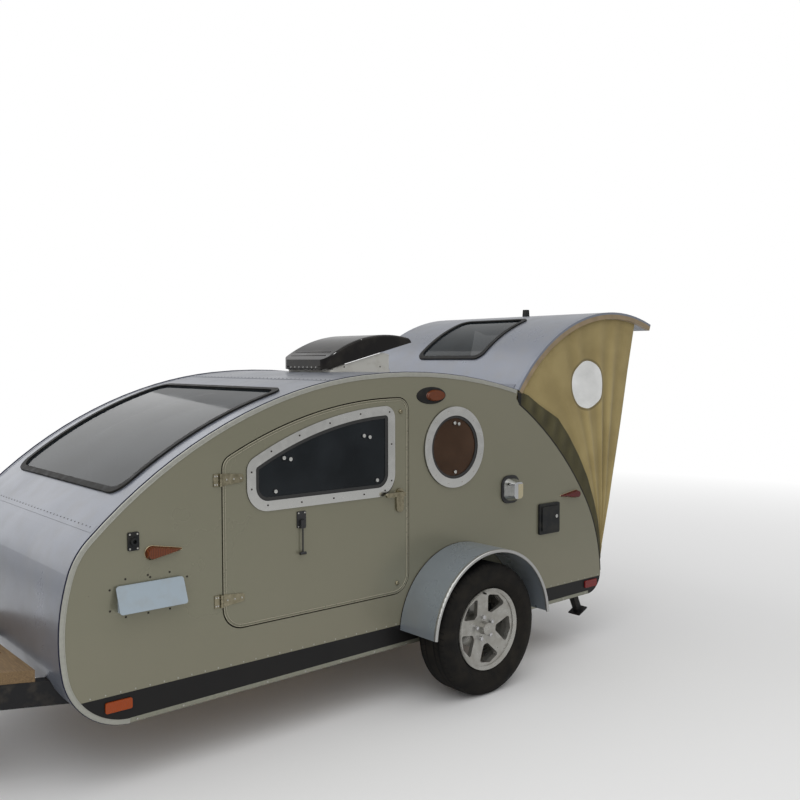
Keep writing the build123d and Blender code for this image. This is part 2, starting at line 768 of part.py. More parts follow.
def door_knuckle(sign, tab_x):
    """Draw a door hinge knuckle in plan, bored for its pin, with its tab reaching to tab_x."""
    near = sign * (HALF + SEAT)
    with Locations((DOOR_HINGE_X, sign * (HALF + DOOR_HINGE_OFF))):
        Circle(KNUCKLE)
    with Locations(((tab_x + DOOR_HINGE_X) / 2, near + sign * LEAF / 2)):
        Rectangle(abs(tab_x - DOOR_HINGE_X), LEAF)
    with Locations((DOOR_HINGE_X, sign * (HALF + DOOR_HINGE_OFF))):
        Circle(DOOR_PIN + PIN_GAP, mode=Mode.SUBTRACT)


for side_name, sign in (("left", 1), ("right", -1)):
    with BuildPart() as door:
        with BuildSketch(side(sign * HALF)):
            add(door_face(0))
            add(window_face(-WINDOW_TRIM + 15), mode=Mode.SUBTRACT)
        extrude(amount=sign * WALL)
    save(door.part, f"door_{side_name}")

    with BuildPart() as trim:
        with BuildSketch(side(sign * (HALF + SEAT))):
            add(window_face(0))
            add(window_face(-WINDOW_TRIM), mode=Mode.SUBTRACT)
        extrude(amount=-sign * WINDOW_PROUD)
        with BuildSketch(side(sign * (HALF + SEAT))):
            add(window_face(1 - WINDOW_TRIM))
            add(window_face(-WINDOW_TRIM - WINDOW_RUBBER), mode=Mode.SUBTRACT)
        extrude(amount=-sign * WINDOW_PROUD / 2)
    save(trim.part, f"door_window_trim_{side_name}")

    with BuildPart() as pane:
        with BuildSketch(side(sign * HALF)):
            add(window_face(-WINDOW_TRIM + 15 - SEAT))
        extrude(amount=sign * GLASS_THICK)
    save(pane.part, f"door_glass_{side_name}")

    with BuildPart() as hardware:
        face = sign * (HALF + SEAT)
        for z in DOOR_HINGE_HEIGHTS:
            with BuildSketch(side(face)) as strap:
                Polygon(
                    (STRAP_END, z - STRAP_TIP / 2),
                    (STRAP_FRONT, z - DOOR_HINGE_TALL / 2),
                    (STRAP_FRONT, z + DOOR_HINGE_TALL / 2),
                    (STRAP_END, z + STRAP_TIP / 2),
                    align=None,
                )
                fillet(strap.vertices().group_by(Axis.X)[0], STRAP_TIP / 3)
            extrude(amount=-sign * LEAF)
            with BuildSketch(level(z - KNUCKLE_TALL / 2 + 1)):
                door_knuckle(sign, STRAP_FRONT - 10)
            extrude(amount=KNUCKLE_TALL - 2)
        with BuildSketch(side(face)):
            with Locations(HANDLE_AT):
                RectangleRounded(48, 118, 22)
        extrude(amount=-sign * 9)
        with BuildSketch(side(face + sign * 9)):
            with Locations((HANDLE_AT[0], HANDLE_AT[1] + 34)):
                Circle(13)
        extrude(amount=-sign * 26)
        with BuildSketch(side(face + sign * 24)):
            with Locations((HANDLE_AT[0] + 46, HANDLE_AT[1] + 34)):
                SlotOverall(122, 22)
        extrude(amount=-sign * 12)
        with BuildSketch(side(face)):
            with Locations(HOLDER_AT):
                RectangleRounded(HOLDER_WIDE, HOLDER_TALL, HOLDER_THICK)
        extrude(amount=-sign * HOLDER_THICK)
        with BuildSketch(side(face + sign * HOLDER_THICK)):
            with Locations((HOLDER_AT[0], HOLDER_AT[1] - HOLDER_TALL / 4)):
                Rectangle(HOLDER_WIDE / 2, HOLDER_TALL / 2)
        extrude(amount=-sign * HOLDER_OUT)
        with BuildSketch(level(HOLDER_FOOT_Z)):
            with Locations((HOLDER_AT[0], face + sign * HOLDER_OUT)):
                Circle(HOLDER_ROD)
        extrude(amount=HOLDER_AT[1] - HOLDER_TALL / 4 - HOLDER_FOOT_Z)
        with BuildSketch(Plane.YZ.offset(AXLE_X + HOLDER_AT[0] - HOLDER_WIDE / 3)):
            with Locations((face + sign * HOLDER_OUT, HOLDER_FOOT_Z)):
                Circle(2 * HOLDER_ROD)
        extrude(amount=2 * HOLDER_WIDE / 3)
    save(hardware.part, f"door_hardware_{side_name}")

# Fixed leaves of the door hinges with their pins, and the catches for the doors' holder rods
with BuildPart() as door_hinge_leaves:
    for sign in (1, -1):
        for z in DOOR_HINGE_HEIGHTS:
            with BuildSketch(side(sign * (HALF + SEAT))):
                with Locations(((LEAF_FRONT + LEAF_END) / 2, z)):
                    Rectangle(LEAF_END - LEAF_FRONT, DOOR_HINGE_TALL)
            extrude(amount=-sign * LEAF)
            for low in (z - KNUCKLE_TALL * 1.5, z + KNUCKLE_TALL / 2):
                with BuildSketch(level(low)):
                    door_knuckle(sign, LEAF_FRONT + 10)
                extrude(amount=KNUCKLE_TALL)
            with BuildSketch(level(z - KNUCKLE_TALL * 1.5)):
                with Locations((DOOR_HINGE_X, sign * (HALF + DOOR_HINGE_OFF))):
                    Circle(DOOR_PIN + PIN_GAP)
            extrude(amount=2)
            with BuildSketch(level(z - KNUCKLE_TALL * 1.5)):
                with Locations((DOOR_HINGE_X, sign * (HALF + DOOR_HINGE_OFF))):
                    Circle(DOOR_PIN)
            extrude(amount=3 * KNUCKLE_TALL)
save(door_hinge_leaves.part, "door_hinge_leaves")

with BuildPart() as door_catches:
    for sign in (1, -1):
        with BuildSketch(side(sign * (HALF + SEAT))):
            with Locations(CATCH_AT):
                RectangleRounded(CATCH_WIDE, CATCH_TALL, CATCH_THICK)
        extrude(amount=-sign * CATCH_THICK)
        with BuildSketch(side(sign * (HALF + SEAT + CATCH_THICK))):
            with Locations(CATCH_AT):
                Circle(CATCH_WIDE / 3)
                Circle(CATCH_WIDE / 6, mode=Mode.SUBTRACT)
        extrude(amount=-sign * CATCH_OUT)
save(door_catches.part, "door_catches")

# Portholes: a polished ring with a rubber inner step over each wall opening, and its tinted pane
with BuildPart() as porthole_rings:
    for sign in (1, -1):
        with BuildSketch(side(sign * (HALF + SEAT))):
            with Locations(PORTHOLE_AT):
                Circle(PORTHOLE_RADIUS)
                Circle(PORTHOLE_SIGHT, mode=Mode.SUBTRACT)
        extrude(amount=-sign * PORTHOLE_PROUD)
        with BuildSketch(side(sign * (HALF + SEAT))):
            with Locations(PORTHOLE_AT):
                Circle(PORTHOLE_SIGHT + 1)
                Circle(PORTHOLE_SIGHT - PORTHOLE_RUBBER, mode=Mode.SUBTRACT)
        extrude(amount=-sign * PORTHOLE_PROUD / 2)
save(porthole_rings.part, "porthole_rings")

with BuildPart() as porthole_panes:
    for sign in (1, -1):
        with BuildSketch(side(sign * HALF)):
            with Locations(PORTHOLE_AT):
                Circle(PORTHOLE_SIGHT + PORTHOLE_REBATE - SEAT)
        extrude(amount=sign * GLASS_THICK)
save(porthole_panes.part, "porthole_panes")

# Marker lamps on the walls: drop shaped lenses, an oval lens, and flat reflectors in the bottom
# band. The rear panel carries two round tail lamps.
LENS_TAPER = 0.8
DROP_TIP = 3
DROPS = (
    # file, head x, tail x, z, head radius, how far it stands out
    ("amber_lamps", 1729, 1598, 936, 27, 24),
    ("red_lamps", -963, -824, 917, 22, 22),
)
OVAL_AT = (174, 1531)
OVAL_LONG = 136
OVAL_TALL = 62
OVAL_PROUD = 18
REFLECTOR_LONG = 111
REFLECTOR_TALL = 43
REFLECTOR_PROUD = 8
REFLECTORS = (("amber_lamps", 1876, 347), ("red_lamps", -1105, 357))
TAIL_LAMP_WAY = 265
TAIL_LAMP_INSET = 150
TAIL_LAMP_RADIUS = 30
TAIL_LAMP_PROUD = 20
TAIL_LAMP = chain_point(EDGE_START, EDGE_WAY, EDGE_ARCS, TAIL_LAMP_WAY, -SEAT)
for file_name in ("amber_lamps", "red_lamps"):
    with BuildPart() as lamps:
        for sign in (1, -1):
            for lamp_file, head_x, tail_x, z, radius, proud in DROPS:
                if lamp_file != file_name:
                    continue
                for stand, share in ((SEAT, 1), (SEAT + proud, LENS_TAPER)):
                    with BuildSketch(side(sign * (HALF + stand))):
                        with Locations((head_x, z)):
                            Circle(share * radius)
                        with Locations((head_x + share * (tail_x - head_x), z)):
                            Circle(share * DROP_TIP)
                        make_hull()
                loft()
            for lamp_file, x, z in REFLECTORS:
                if lamp_file != file_name:
                    continue
                with BuildSketch(side(sign * (HALF + SEAT))):
                    with Locations((x, z)):
                        RectangleRounded(REFLECTOR_LONG, REFLECTOR_TALL, REFLECTOR_PROUD)
                extrude(amount=-sign * REFLECTOR_PROUD)
            if file_name == "amber_lamps":
                for stand, share in ((SEAT, 1), (SEAT + OVAL_PROUD, LENS_TAPER)):
                    with BuildSketch(side(sign * (HALF + stand))):
                        with Locations(OVAL_AT):
                            Ellipse(share * OVAL_LONG / 2, share * OVAL_TALL / 2)
                loft()
            if file_name == "red_lamps":
                away = -aside(TAIL_LAMP_WAY)
                lamp_plane = Plane(
                    origin=(AXLE_X + TAIL_LAMP.X, sign * (INNER - TAIL_LAMP_INSET), TAIL_LAMP.Y),
                    x_dir=(0, 1, 0),
                    z_dir=(away.X, 0, away.Y),
                )
                with BuildSketch(lamp_plane):
                    Circle(TAIL_LAMP_RADIUS)
                extrude(amount=TAIL_LAMP_PROUD, taper=TAIL_LAMP_PROUD)
    save(lamps.part, file_name)

# Porch lights: a round-cornered base, a tapered bright housing and a clear lens let into its rear
PORCH_LONG = 140
PORCH_TALL = 154
PORCH_BASE = 8
PORCH_BODY_LONG = 108
PORCH_BODY_TALL = 130
PORCH_DEEP = 60
PORCH_TAPER = 18
PORCH_LENS_FROM = -4
PORCH_LENS_TOP = 34


def porch_body(sign):
    """Build a porch light's tapered body, lens and housing together."""
    with BuildPart(mode=Mode.PRIVATE) as body:
        with BuildSketch(side(sign * (HALF + SEAT + PORCH_BASE))):
            with Locations(PORCH_AT):
                RectangleRounded(PORCH_BODY_LONG, PORCH_BODY_TALL, 40)
        extrude(amount=-sign * PORCH_DEEP, taper=PORCH_TAPER)
    return body.part


def porch_window(sign, grow):
    """Build the block that parts the lens from the housing, grown by grow."""
    with BuildPart(mode=Mode.PRIVATE) as block:
        with BuildSketch(side(sign * (HALF + SEAT + PORCH_BASE + 4 - grow))):
            corner = (PORCH_AT[0] - PORCH_LENS_FROM + grow, PORCH_AT[1] + PORCH_LENS_TOP + grow)
            with Locations(corner):
                Rectangle(PORCH_LONG, PORCH_TALL, align=(Align.MAX, Align.MAX))
        extrude(amount=-sign * 2 * PORCH_DEEP)
    return block.part


with BuildPart() as porch_lights:
    for sign in (1, -1):
        add(porch_body(sign))
        add(porch_window(sign, SEAT), mode=Mode.SUBTRACT)
        with BuildSketch(side(sign * (HALF + SEAT))):
            with Locations(PORCH_AT):
                RectangleRounded(PORCH_LONG, PORCH_TALL, 50)
        extrude(amount=-sign * PORCH_BASE)
save(porch_lights.part, "porch_lights")

with BuildPart() as porch_lenses:
    for sign in (1, -1):
        add(porch_body(sign) & porch_window(sign, 0))
save(porch_lenses.part, "porch_lenses")

# Power inlet boxes and vent hoods on both walls
with BuildPart() as inlet_boxes:
    for sign in (1, -1):
        with BuildSketch(side(sign * (HALF + SEAT))):
            with Locations(PORT_AT):
                RectangleRounded(PORT_SIDE, PORT_SIDE, 10)
        extrude(amount=-sign * 12)
        with BuildSketch(side(sign * (HALF + SEAT + 12))):
            with Locations(PORT_AT):
                RectangleRounded(PORT_SIDE - 36, PORT_SIDE - 36, 8)
        extrude(amount=-sign * 7)
save(inlet_boxes.part, "inlet_boxes")

HOOD_FACE = 4
HOOD_SIDE = 12
HOOD_LIP = 8
HOOD_RUN = Vector(HOOD_LIP - HOOD_DEEP, HOOD_TALL)
with BuildPart() as vent_hoods:
    for sign in (1, -1):
        near = sign * (HALF + SEAT)
        low = HOOD_AT[1] - HOOD_TALL / 2
        with BuildSketch(Plane.YZ.offset(AXLE_X + HOOD_AT[0] - HOOD_LONG / 2 + HOOD_SIDE)):
            Polygon(
                (near, low),
                (near + sign * HOOD_DEEP, low),
                (near + sign * HOOD_LIP, low + HOOD_TALL),
                (near, low + HOOD_TALL),
                align=None,
            )
        extrude(amount=HOOD_LONG - 2 * HOOD_SIDE)
        face_plane = Plane(
            origin=(AXLE_X + HOOD_AT[0], near + sign * (HOOD_DEEP + HOOD_LIP) / 2, HOOD_AT[1]),
            x_dir=(1, 0, 0),
            z_dir=(0, sign * HOOD_RUN.Y, -HOOD_RUN.X),
        )
        with BuildSketch(face_plane):
            RectangleRounded(HOOD_LONG, HOOD_RUN.length, 3 * HOOD_FACE)
        extrude(amount=HOOD_FACE)
save(vent_hoods.part, "vent_hoods")

# Hatch: a bent sandwich lid with rims on its sides, shown open, turned about the roof's rear edge
HATCH_ARCS = [(HATCH_RADIUS, HATCH_TURN - degrees(SWING_GAP / HATCH_RADIUS))]
HATCH_FROM_WAY = HATCH_WAY + degrees(SWING_GAP / HATCH_RADIUS)
HATCH_FROM = HATCH_CENTRE - aside(HATCH_FROM_WAY) * HATCH_RADIUS
SKYLIGHT_LOW_WAY = HATCH_WAY + degrees(SKYLIGHT_FROM / HATCH_RADIUS)
SKYLIGHT_HIGH_WAY = SKYLIGHT_LOW_WAY + degrees(SKYLIGHT_LENGTH / HATCH_RADIUS)
SKYLIGHT_LOW = HATCH_CENTRE - aside(SKYLIGHT_LOW_WAY) * HATCH_RADIUS
SKYLIGHT_HIGH = HATCH_CENTRE - aside(SKYLIGHT_HIGH_WAY) * HATCH_RADIUS
SKYLIGHT_LONG = (SKYLIGHT_HIGH - SKYLIGHT_LOW).length
SKYLIGHT_PLANE = facing(SKYLIGHT_LOW, SKYLIGHT_HIGH)
SKYLIGHT_FRAME = 26
HATCH_HALF = HALF - HATCH_RIM_WIDTH - SEAT
with BuildPart() as hatch_shell:
    with BuildSketch(side(HATCH_HALF)):
        with BuildLine():
            strip(HATCH_FROM, HATCH_FROM_WAY, HATCH_ARCS, 0, HATCH_THICK)
        make_face()
    extrude(amount=2 * HATCH_HALF)
    with BuildSketch(SKYLIGHT_PLANE):
        RectangleRounded(SKYLIGHT_WIDTH - SKYLIGHT_FRAME, SKYLIGHT_LONG - SKYLIGHT_FRAME, SKYLIGHT_CORNER)
    extrude(amount=SKYLIGHT_LONG, both=True, mode=Mode.SUBTRACT)
save(hatch_shell.part, "hatch_shell")

with BuildPart() as hatch_rims:
    for sign in (1, -1):
        with BuildSketch(side(sign * HALF)):
            with BuildLine():
                strip(HATCH_FROM, HATCH_FROM_WAY, HATCH_ARCS, 0, HATCH_THICK)
            make_face()
        extrude(amount=sign * HATCH_RIM_WIDTH)
save(hatch_rims.part, "hatch_rims")

with BuildPart() as skylight_gasket:
    with BuildSketch(side(SKYLIGHT_WIDTH / 2)):
        with BuildLine():
            strip(HATCH_FROM, HATCH_FROM_WAY, HATCH_ARCS, -GASKET_PROUD, -SEAT)
        make_face()
    extrude(amount=SKYLIGHT_WIDTH)
    with BuildSketch(SKYLIGHT_PLANE):
        RectangleRounded(SKYLIGHT_WIDTH, SKYLIGHT_LONG, SKYLIGHT_CORNER)
        RectangleRounded(
            SKYLIGHT_WIDTH - 2 * SKYLIGHT_FRAME,
            SKYLIGHT_LONG - 2 * SKYLIGHT_FRAME,
            SKYLIGHT_CORNER - SKYLIGHT_FRAME / 2,
            mode=Mode.SUBTRACT,
        )
    extrude(amount=SKYLIGHT_LONG, both=True, mode=Mode.INTERSECT)
save(skylight_gasket.part, "skylight_gasket")

with BuildPart() as skylight_glass:
    with BuildSketch(side(SKYLIGHT_WIDTH / 2)):
        with BuildLine():
            strip(HATCH_FROM, HATCH_FROM_WAY, HATCH_ARCS, 0, GLASS_THICK)
        make_face()
    extrude(amount=SKYLIGHT_WIDTH)
    with BuildSketch(SKYLIGHT_PLANE):
        RectangleRounded(
            SKYLIGHT_WIDTH - SKYLIGHT_FRAME - 2 * SEAT,
            SKYLIGHT_LONG - SKYLIGHT_FRAME - 2 * SEAT,
            SKYLIGHT_CORNER - SEAT,
        )
    extrude(amount=SKYLIGHT_LONG, both=True, mode=Mode.INTERSECT)
save(skylight_glass.part, "skylight_glass")

# Hatch pod: a small black block on the middle of the hatch
POD_WAY = 180
POD_LONG = 38
POD_WIDE = 38
POD_TALL = 46
POD_AT = HATCH_CENTRE - aside(POD_WAY) * (HATCH_RADIUS + SEAT)
POD_UP = -aside(POD_WAY)
with BuildPart() as hatch_pod:
    with BuildSketch(
        Plane(origin=(AXLE_X + POD_AT.X, 0, POD_AT.Y), x_dir=(0, 1, 0), z_dir=(POD_UP.X, 0, POD_UP.Y))
    ):
        RectangleRounded(POD_WIDE, POD_LONG, 6)
    extrude(amount=POD_TALL, taper=4)
save(hatch_pod.part, "hatch_pod")

# Hatch hinge: long leaves on the roof and on the hatch, with knuckles by turns on one pin
HATCH_PIN = 2.2
HATCH_KNUCKLE = 5
HINGE_LEAF = 34
HINGE_RUNS = 5
HINGE_LONG = 2 * (INNER - 6)
RUN = HINGE_LONG / HINGE_RUNS
RUN_GAP = 1
LEAF_SKIN = 2.2


def knuckle_face(way, toward):
    """Draw one knuckle and the tab that joins it to its leaf, which lies ahead or behind."""
    run = Vector(cos(radians(way)), sin(radians(way))) * toward * (SWING_GAP + 2)
    top = HINGE_AT - aside(way) * (LEAF_SKIN + SEAT)
    low = HINGE_AT - aside(way) * SEAT
    with Locations(HINGE_AT):
        Circle(HATCH_KNUCKLE)
    Polygon(top, top + run, low + run, low, align=None)


with BuildPart() as hatch_hinge:
    with BuildSketch(side(HINGE_LONG / 2)):
        with BuildLine():
            strip(OUTLINE_START, OUTLINE_WAY, OUTLINE_ARCS, -LEAF_SKIN - SEAT, -SEAT)
        make_face()
    extrude(amount=HINGE_LONG)
    split(bisect_by=across(ROOF_END_WAY).offset(-HINGE_LEAF), keep=Keep.TOP)
    split(bisect_by=across(ROOF_END_WAY).offset(-SWING_GAP), keep=Keep.BOTTOM)
    for run in range(0, HINGE_RUNS, 2):
        with BuildSketch(side(HINGE_LONG / 2 - run * RUN - RUN_GAP / 2)):
            knuckle_face(ROOF_END_WAY, -1)
        extrude(amount=RUN - RUN_GAP)
    with BuildSketch(side((HINGE_LONG - RUN_GAP) / 2)):
        with Locations(HINGE_AT):
            Circle(HATCH_PIN)
    extrude(amount=HINGE_LONG - RUN_GAP)
save(hatch_hinge.part, "hatch_hinge")

with BuildPart() as hatch_hinge_leaf:
    with BuildSketch(side(HINGE_LONG / 2)):
        with BuildLine():
            leaf_arcs = [(HATCH_RADIUS, degrees(HINGE_LEAF / HATCH_RADIUS))]
            strip(HATCH_FROM, HATCH_FROM_WAY, leaf_arcs, -LEAF_SKIN - SEAT, -SEAT)
        make_face()
    extrude(amount=HINGE_LONG)
    for run in range(1, HINGE_RUNS, 2):
        with BuildSketch(side(HINGE_LONG / 2 - run * RUN - RUN_GAP / 2)):
            knuckle_face(HATCH_WAY, 1)
        extrude(amount=RUN - RUN_GAP)
    with BuildSketch(side(HINGE_LONG / 2)):
        with Locations(HINGE_AT):
            Circle(HATCH_PIN + PIN_GAP)
    extrude(amount=HINGE_LONG, mode=Mode.SUBTRACT)
save(hatch_hinge_leaf.part, "hatch_hinge_leaf")

# Curtains: canvas sides between the open hatch and the walls' rear edges
CURTAIN_THICK = 4
CURTAIN_TIP = (-1560, 1990)
CURTAIN_HEAD_X = HINGE_AT.X - SWING_GAP
CURTAIN_FOOT = (-1222, 468)
with BuildPart() as hatch_curtains:
    for sign in (1, -1):
        with BuildSketch(side(sign * (HALF - 12))):
            with Locations(HATCH_CENTRE):
                Circle(HATCH_RADIUS - HATCH_THICK - 1)
            with Locations(HATCH_SHUT_CENTRE):
                Circle(LIP_RADIUS + 1, mode=Mode.SUBTRACT)
            add(wall_face(), mode=Mode.SUBTRACT)
            Polygon(
                (CURTAIN_HEAD_X, CURTAIN_TIP[1] + HATCH_THICK),
                CURTAIN_TIP,
                CURTAIN_FOOT,
                (CURTAIN_HEAD_X, CURTAIN_FOOT[1]),
                align=None,
                mode=Mode.INTERSECT,
            )
        extrude(amount=sign * CURTAIN_THICK)
save(hatch_curtains.part, "hatch_curtains")

# Roof vent: a flange with two cheeks on the roof and a domed lid, hinged at its front, open
VENT_HALF = VENT_HOLE / 2 + VENT_FLANGE
VENT_PIN = 4
VENT_EAR = 9
VENT_EAR_THICK = 9
VENT_TAB = 20
VENT_TAB_GAP = 2
VENT_TAB_YS = (-150, 150)
VENT_PIVOT_X = VENT_AT + VENT_HALF + VENT_EAR + 8
VENT_PIVOT_Z = ROOF_Z + VENT_FLANGE_TALL + SWING_GAP
VENT_LID_HALF = VENT_HALF + VENT_CHEEK + VENT_WALL


def lid_plane(y, tilt):
    """Return the side plane of the vent lid at y: from its pin rearward and up, when tilted."""
    return Plane(
        origin=(AXLE_X + VENT_PIVOT_X, y, VENT_PIVOT_Z),
        x_dir=(-cos(radians(tilt)), 0, sin(radians(tilt))),
        z_dir=(0, 1, 0),
    )


def lid_face(inset):
    """Draw the vent lid's side outline, set inward by inset but open along its lower edge."""
    with BuildSketch(mode=Mode.PRIVATE) as face:
        with BuildLine():
            crown = ThreePointArc(VENT_LID_BROW, VENT_LID_CROWN, VENT_LID_TAIL)
            Polyline(crown @ 1, (VENT_LID_END, 0), (VENT_LID_NOSE, 0), crown @ 0)
        make_face()
        if inset:
            offset(amount=-inset)
            with Locations((VENT_LID_NOSE + inset + 1, -1)):
                Rectangle(
                    VENT_LID_END - VENT_LID_NOSE - 2 * inset - 3, 2 * inset, align=(Align.MIN, Align.MIN)
                )
    return face.sketch


def lid_plan(inset):
    """Build the upright block that rounds the vent lid's front corners, set inward by inset."""
    with BuildPart(mode=Mode.PRIVATE) as block:
        with BuildSketch(level(ROOF_Z - VENT_LID_HALF)) as plan:
            nose_x = VENT_PIVOT_X - VENT_LID_NOSE
            with Locations((nose_x - inset, 0)):
                Rectangle(
                    VENT_LID_END - VENT_LID_NOSE + VENT_WALL,
                    2 * (VENT_LID_HALF - inset),
                    align=(Align.MAX, Align.CENTER),
                )
            fillet(plan.vertices().group_by(Axis.X)[-1], VENT_LID_CORNER - inset)
        extrude(amount=3 * VENT_LID_HALF)
    return block.part


with BuildPart() as vent_base:
    with BuildSketch(level(ROOF_Z - VENT_FLANGE)):
        with Locations((VENT_AT, 0)):
            RectangleRounded(2 * VENT_HALF, 2 * VENT_HALF, VENT_FLANGE / 2)
    extrude(amount=VENT_FLANGE + VENT_FLANGE_TALL)
    for sign in (1, -1):
        with BuildSketch(lid_plane(sign * VENT_HALF, 0)):
            add(lid_face(VENT_WALL + SWING_GAP))
            with Locations(Location((0, -SWING_GAP), VENT_TILT)):
                Rectangle(
                    2 * VENT_LID_END, VENT_LID_END, align=(Align.CENTER, Align.MAX), mode=Mode.INTERSECT
                )
            with Locations((VENT_PIVOT_X - VENT_AT, 0)):
                Rectangle(2 * VENT_HALF - VENT_FLANGE, VENT_LID_END, mode=Mode.INTERSECT)
        extrude(amount=-sign * VENT_CHEEK)
        with BuildSketch(level(ROOF_Z)):
            with Locations((VENT_AT, sign * (VENT_HALF - VENT_CHEEK / 2))):
                Rectangle(2 * VENT_HALF - VENT_FLANGE, VENT_CHEEK)
        extrude(amount=VENT_FLANGE_TALL + SWING_GAP)
    with BuildSketch(side(VENT_HALF)):
        with BuildLine():
            strip(OUTLINE_START, OUTLINE_WAY, OUTLINE_ARCS, -SEAT, 2 * VENT_FLANGE)
        make_face()
    extrude(amount=2 * VENT_HALF, mode=Mode.SUBTRACT)
    with BuildSketch(level(ROOF_Z - VENT_FLANGE)):
        with Locations((VENT_AT, 0)):
            RectangleRounded(VENT_HOLE - 16, VENT_HOLE - 16, VENT_FLANGE / 2)
    extrude(amount=2 * VENT_FLANGE, mode=Mode.SUBTRACT)
    for y in VENT_TAB_YS:
        for sign in (1, -1):
            near = y + sign * (VENT_TAB / 2 + VENT_TAB_GAP)
            with BuildSketch(side(near)):
                with Locations((VENT_PIVOT_X, VENT_PIVOT_Z)):
                    Circle(VENT_EAR)
                with Locations((VENT_AT + VENT_HALF - 2, VENT_PIVOT_Z)):
                    Rectangle(4, 2 * VENT_EAR)
                make_hull()
            extrude(amount=-sign * VENT_EAR_THICK)
        with BuildSketch(side(y + VENT_TAB / 2 + VENT_TAB_GAP)):
            with Locations((VENT_PIVOT_X, VENT_PIVOT_Z)):
                Circle(VENT_PIN)
        extrude(amount=VENT_TAB + 2 * VENT_TAB_GAP)
save(vent_base.part, "vent_base")

with BuildPart() as vent_lid:
    with BuildSketch(lid_plane(-VENT_LID_HALF, VENT_TILT)):
        add(lid_face(0))
    extrude(amount=2 * VENT_LID_HALF)
    long_edges = vent_lid.edges().filter_by(GeomType.CIRCLE)
    fillet(long_edges, VENT_LID_ROUND)
    add(lid_plan(0), mode=Mode.INTERSECT)
    with BuildPart(mode=Mode.PRIVATE) as hollow:
        with BuildSketch(lid_plane(VENT_WALL - VENT_LID_HALF, VENT_TILT)):
            add(lid_face(VENT_WALL))
        extrude(amount=2 * (VENT_LID_HALF - VENT_WALL))
        add(lid_plan(VENT_WALL), mode=Mode.INTERSECT)
    add(hollow.part, mode=Mode.SUBTRACT)
    for y in VENT_TAB_YS:
        with BuildSketch(lid_plane(y - VENT_TAB / 2, VENT_TILT)):
            Circle(VENT_EAR)
            with Locations((VENT_LID_NOSE + VENT_WALL - 1, VENT_EAR)):
                Rectangle(2, 2 * VENT_EAR)
            make_hull()
            Circle(VENT_PIN + PIN_GAP, mode=Mode.SUBTRACT)
        extrude(amount=VENT_TAB)
save(vent_lid.part, "vent_lid")

# Stabilisers: a clevis under each rear outrigger and the leg that hangs from it, leaning back
CLEVIS_GAP = 5
CLEVIS_PLATE = 6
CLEVIS_RADIUS = 20
STABILISER_PIN = 6
STABILISER_FOOT = 84
FOOT_THICK = 8
with BuildPart() as stabiliser_brackets:
    for sign in (1, -1):
        gap = STABILISER_TUBE / 2 + CLEVIS_GAP
        for near in (sign * STABILISER_Y + gap + CLEVIS_PLATE, sign * STABILISER_Y - gap):
            with BuildSketch(side(near)):
                with Locations((STABILISER_X, STABILISER_PIVOT_Z)):
                    Circle(CLEVIS_RADIUS)
                with Locations((STABILISER_X, RAIL_LOW - SEAT - CLEVIS_PLATE / 2)):
                    Rectangle(RAIL_WIDE, CLEVIS_PLATE)
                make_hull()
            extrude(amount=CLEVIS_PLATE)
        with BuildSketch(side(sign * STABILISER_Y + gap + 1)):
            with Locations((STABILISER_X, STABILISER_PIVOT_Z)):
                Circle(STABILISER_PIN)
        extrude(amount=2 * gap + 2)
save(stabiliser_brackets.part, "stabiliser_brackets")

for side_name, sign in (("left", 1), ("right", -1)):
    middle = sign * STABILISER_Y
    with BuildPart() as leg:
        with BuildSketch(side(middle + STABILISER_TUBE / 2)):
            with Locations(Location((STABILISER_X, STABILISER_PIVOT_Z), -STABILISER_LEAN)):
                Circle(STABILISER_TUBE / 2)
                Rectangle(STABILISER_TUBE, STABILISER_LONG, align=(Align.CENTER, Align.MAX))
                Circle(STABILISER_PIN + PIN_GAP, mode=Mode.SUBTRACT)
        extrude(amount=STABILISER_TUBE)
        with BuildSketch(side(middle + STABILISER_FOOT / 2)):
            with Locations(Location((STABILISER_X, STABILISER_PIVOT_Z), -STABILISER_LEAN)):
                with Locations((0, -STABILISER_LONG)):
                    Rectangle(STABILISER_FOOT, FOOT_THICK)
        extrude(amount=STABILISER_FOOT)
    save(leg.part, f"stabiliser_leg_{side_name}")

# Bulkhead between the cabin and the galley
FLOOR_TOP = FLOOR_Z + FLOOR_THICK
with BuildPart() as bulkhead:
    with BuildSketch(side(INNER - SEAT)):
        with BuildLine():
            inner_arcs = [(radius - WALL - SEAT, turn) for radius, turn in OUTLINE_ARCS]
            nose_foot = skin_point(OUTLINE_WAY, WALL + SEAT)
            roof_end = arc_chain(nose_foot, OUTLINE_WAY, inner_arcs)
            Polyline(roof_end, (roof_end.X, nose_foot.Y), nose_foot)
        make_face()
        with Locations((BULKHEAD_X, FLOOR_TOP + SEAT)):
            Rectangle(BULKHEAD_THICK, ROOF_Z, align=(Align.MAX, Align.MIN), mode=Mode.INTERSECT)
    extrude(amount=2 * (INNER - SEAT))
save(bulkhead.part, "bulkhead")

